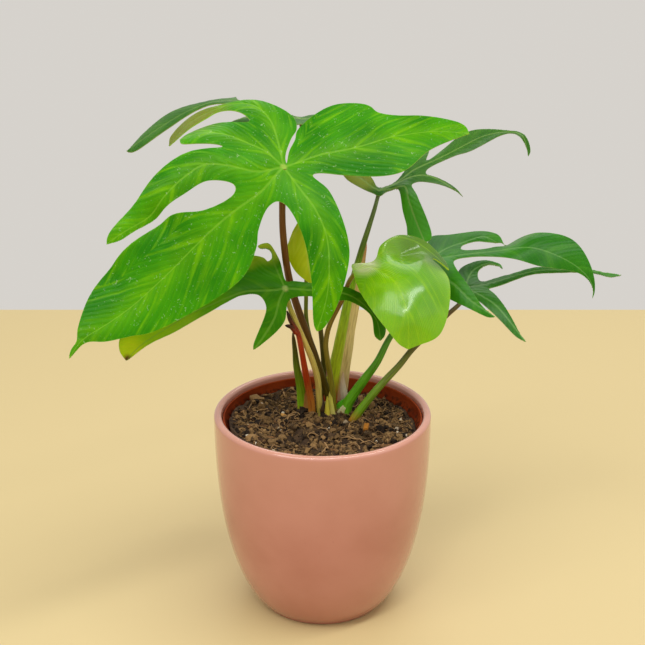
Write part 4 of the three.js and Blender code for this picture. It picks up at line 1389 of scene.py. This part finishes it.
# Crumbs and clods of peat: dark and moist, paler where they have dried.
crumb = soil_material("peat_crumbs", "#1a1008", "#927146", 0.8)
scatter("soil_crumbs", 2600, lump_shapes(1, 1, 0.9), (0.8, 3.4), crumb, reach, 0.25, 11)
scatter("soil_clods", 200, lump_shapes(7, 2, 1.1), (2.5, 7.5), crumb, reach - 2, 0.3, 17,
        squash=(1, 0.8, 0.6))
# Perlite, a puffed volcanic glass: off-white and dull.
perlite = soil_material("perlite", "#a08c70", "#dccfb8", 0.5)
scatter("perlite_grains", 34, lump_shapes(2, 2, 0.6), (1.1, 3.0), perlite, reach, 0.1, 23)
# Composted bark: flat brown splinters.
bark = soil_material("bark_chips", "#2c1a0e", "#86603a", 1.2)
scatter("bark_chips", 90, chip_shapes(5), (2.0, 7.5), bark, reach, 0.1, 31,
        squash=(1, 0.4, 0.22))
# Fresh wood chips: a few warm amber specks.
amber = soil_material("amber_chips", "#a86a1c", "#d8a860", 1.5)
for seed, (place, size) in AMBER_CHIPS.items():
    scatter(f"amber_chip_{seed}", 1, chip_shapes(seed), (size, size), amber, 0, -0.2, seed,
            squash=(1, 0.6, 0.4), place=place)
# Coir: pale curling threads.
coir = soil_material("coir_fibres", "#4a3018", "#a88458", 0.5)
make_fibres("coir_fibres", 260, coir, reach, 53)
make_crown()

for name, stem in STEMS.items():
    top = None
    if "leaf" in stem:
        leaf = LEAVES[stem["leaf"]]
        origin, _, _, up = leaf_frame(leaf)
        top = origin - up * (BLADE_THICKNESS / 2 + stem["radius"][0] * 0.6)
    bm = bmesh.new()
    stalk(bm, stem, top)
    skins = [stem_material(name + "_skin", stem["hues"])]
    if name == "old_red_stalk":
        stalk(bm, SPUR, None, step=1)
    bmesh.ops.recalc_face_normals(bm, faces=bm.faces[:])
    as_piece(name + "_skin", bm, skins, [name], 60)

for name, stem in SCALES.items():
    bm = bmesh.new()
    stalk(bm, stem, None, step=1)
    bmesh.ops.recalc_face_normals(bm, faces=bm.faces[:])
    as_piece(name, bm, [stem_material(name, stem["hues"])], sharp=60)

for name, leaf in LEAVES.items():
    look = {**GREEN, **LOOKS[name]}
    skins = [
        blade_material(name + "_leaf_upper", look),
        underside_material(name + "_leaf_underside", look),
        edge_material(name + "_leaf_edge", look),
    ]
    make_blade(name + "_blade", leaf, skins, name + "_leaf",
               SMOOTH_RELIEF if "lime" in name else RELIEF, STAINS_AND_PAINTED_LIGHT.get(name, []))

floor = bmesh.new()
bmesh.ops.create_grid(floor, x_segments=1, y_segments=1, size=1)
bmesh.ops.scale(floor, verts=floor.verts, vec=(FLOOR_REACH, (FLOOR_REACH + FLOOR_EDGE * MM) / 2, 1))
bmesh.ops.translate(floor, verts=floor.verts, vec=(0, (FLOOR_EDGE * MM - FLOOR_REACH) / 2, 0))
floor_mesh = bpy.data.meshes.new("floor")
floor.to_mesh(floor_mesh)
floor.free()
floor_paint, _, floor_shader = new_material("pale_floor")
floor_shader.inputs["Base Color"].default_value = linear("#d2be8a")
floor_shader.inputs["Roughness"].default_value = 0.6
floor_mesh.materials.append(floor_paint)
floor_object = bpy.data.objects.new("floor", floor_mesh)
scene.collection.objects.link(floor_object)

world = bpy.data.worlds.new("studio")
world.use_nodes = True
scene.world = world
backdrop = world.node_tree.nodes["Background"].inputs
backdrop["Color"].default_value = linear("#dad6d0")
backdrop["Strength"].default_value = 0.96


# Where each softbox stands and its width and height, in metres, and its power in watts.
SOFTBOXES = {
    "key_softbox": ((-0.7, -0.9, 1.5), (1.0, 0.8), 9.5),
    "top_softbox": ((0.3, -0.42, 1.35), (1.5, 0.14), 9),
    "fill_softbox": ((1.3, -0.5, 1.0), (0.9, 0.9), 1.5),
    "back_softbox": ((0.2, 1.1, 1.4), (1.2, 0.7), 5),
}
AIM = Vector((0, 0, 0.2))
for name, (place, size, power) in SOFTBOXES.items():
    light = bpy.data.lights.new(name, "AREA")
    light.shape = "RECTANGLE"
    light.size, light.size_y = size
    light.energy = power
    lamp = bpy.data.objects.new(name, light)
    lamp.location = place
    lamp.rotation_euler = (AIM - Vector(place)).to_track_quat("-Z", "Y").to_euler()
    scene.collection.objects.link(lamp)
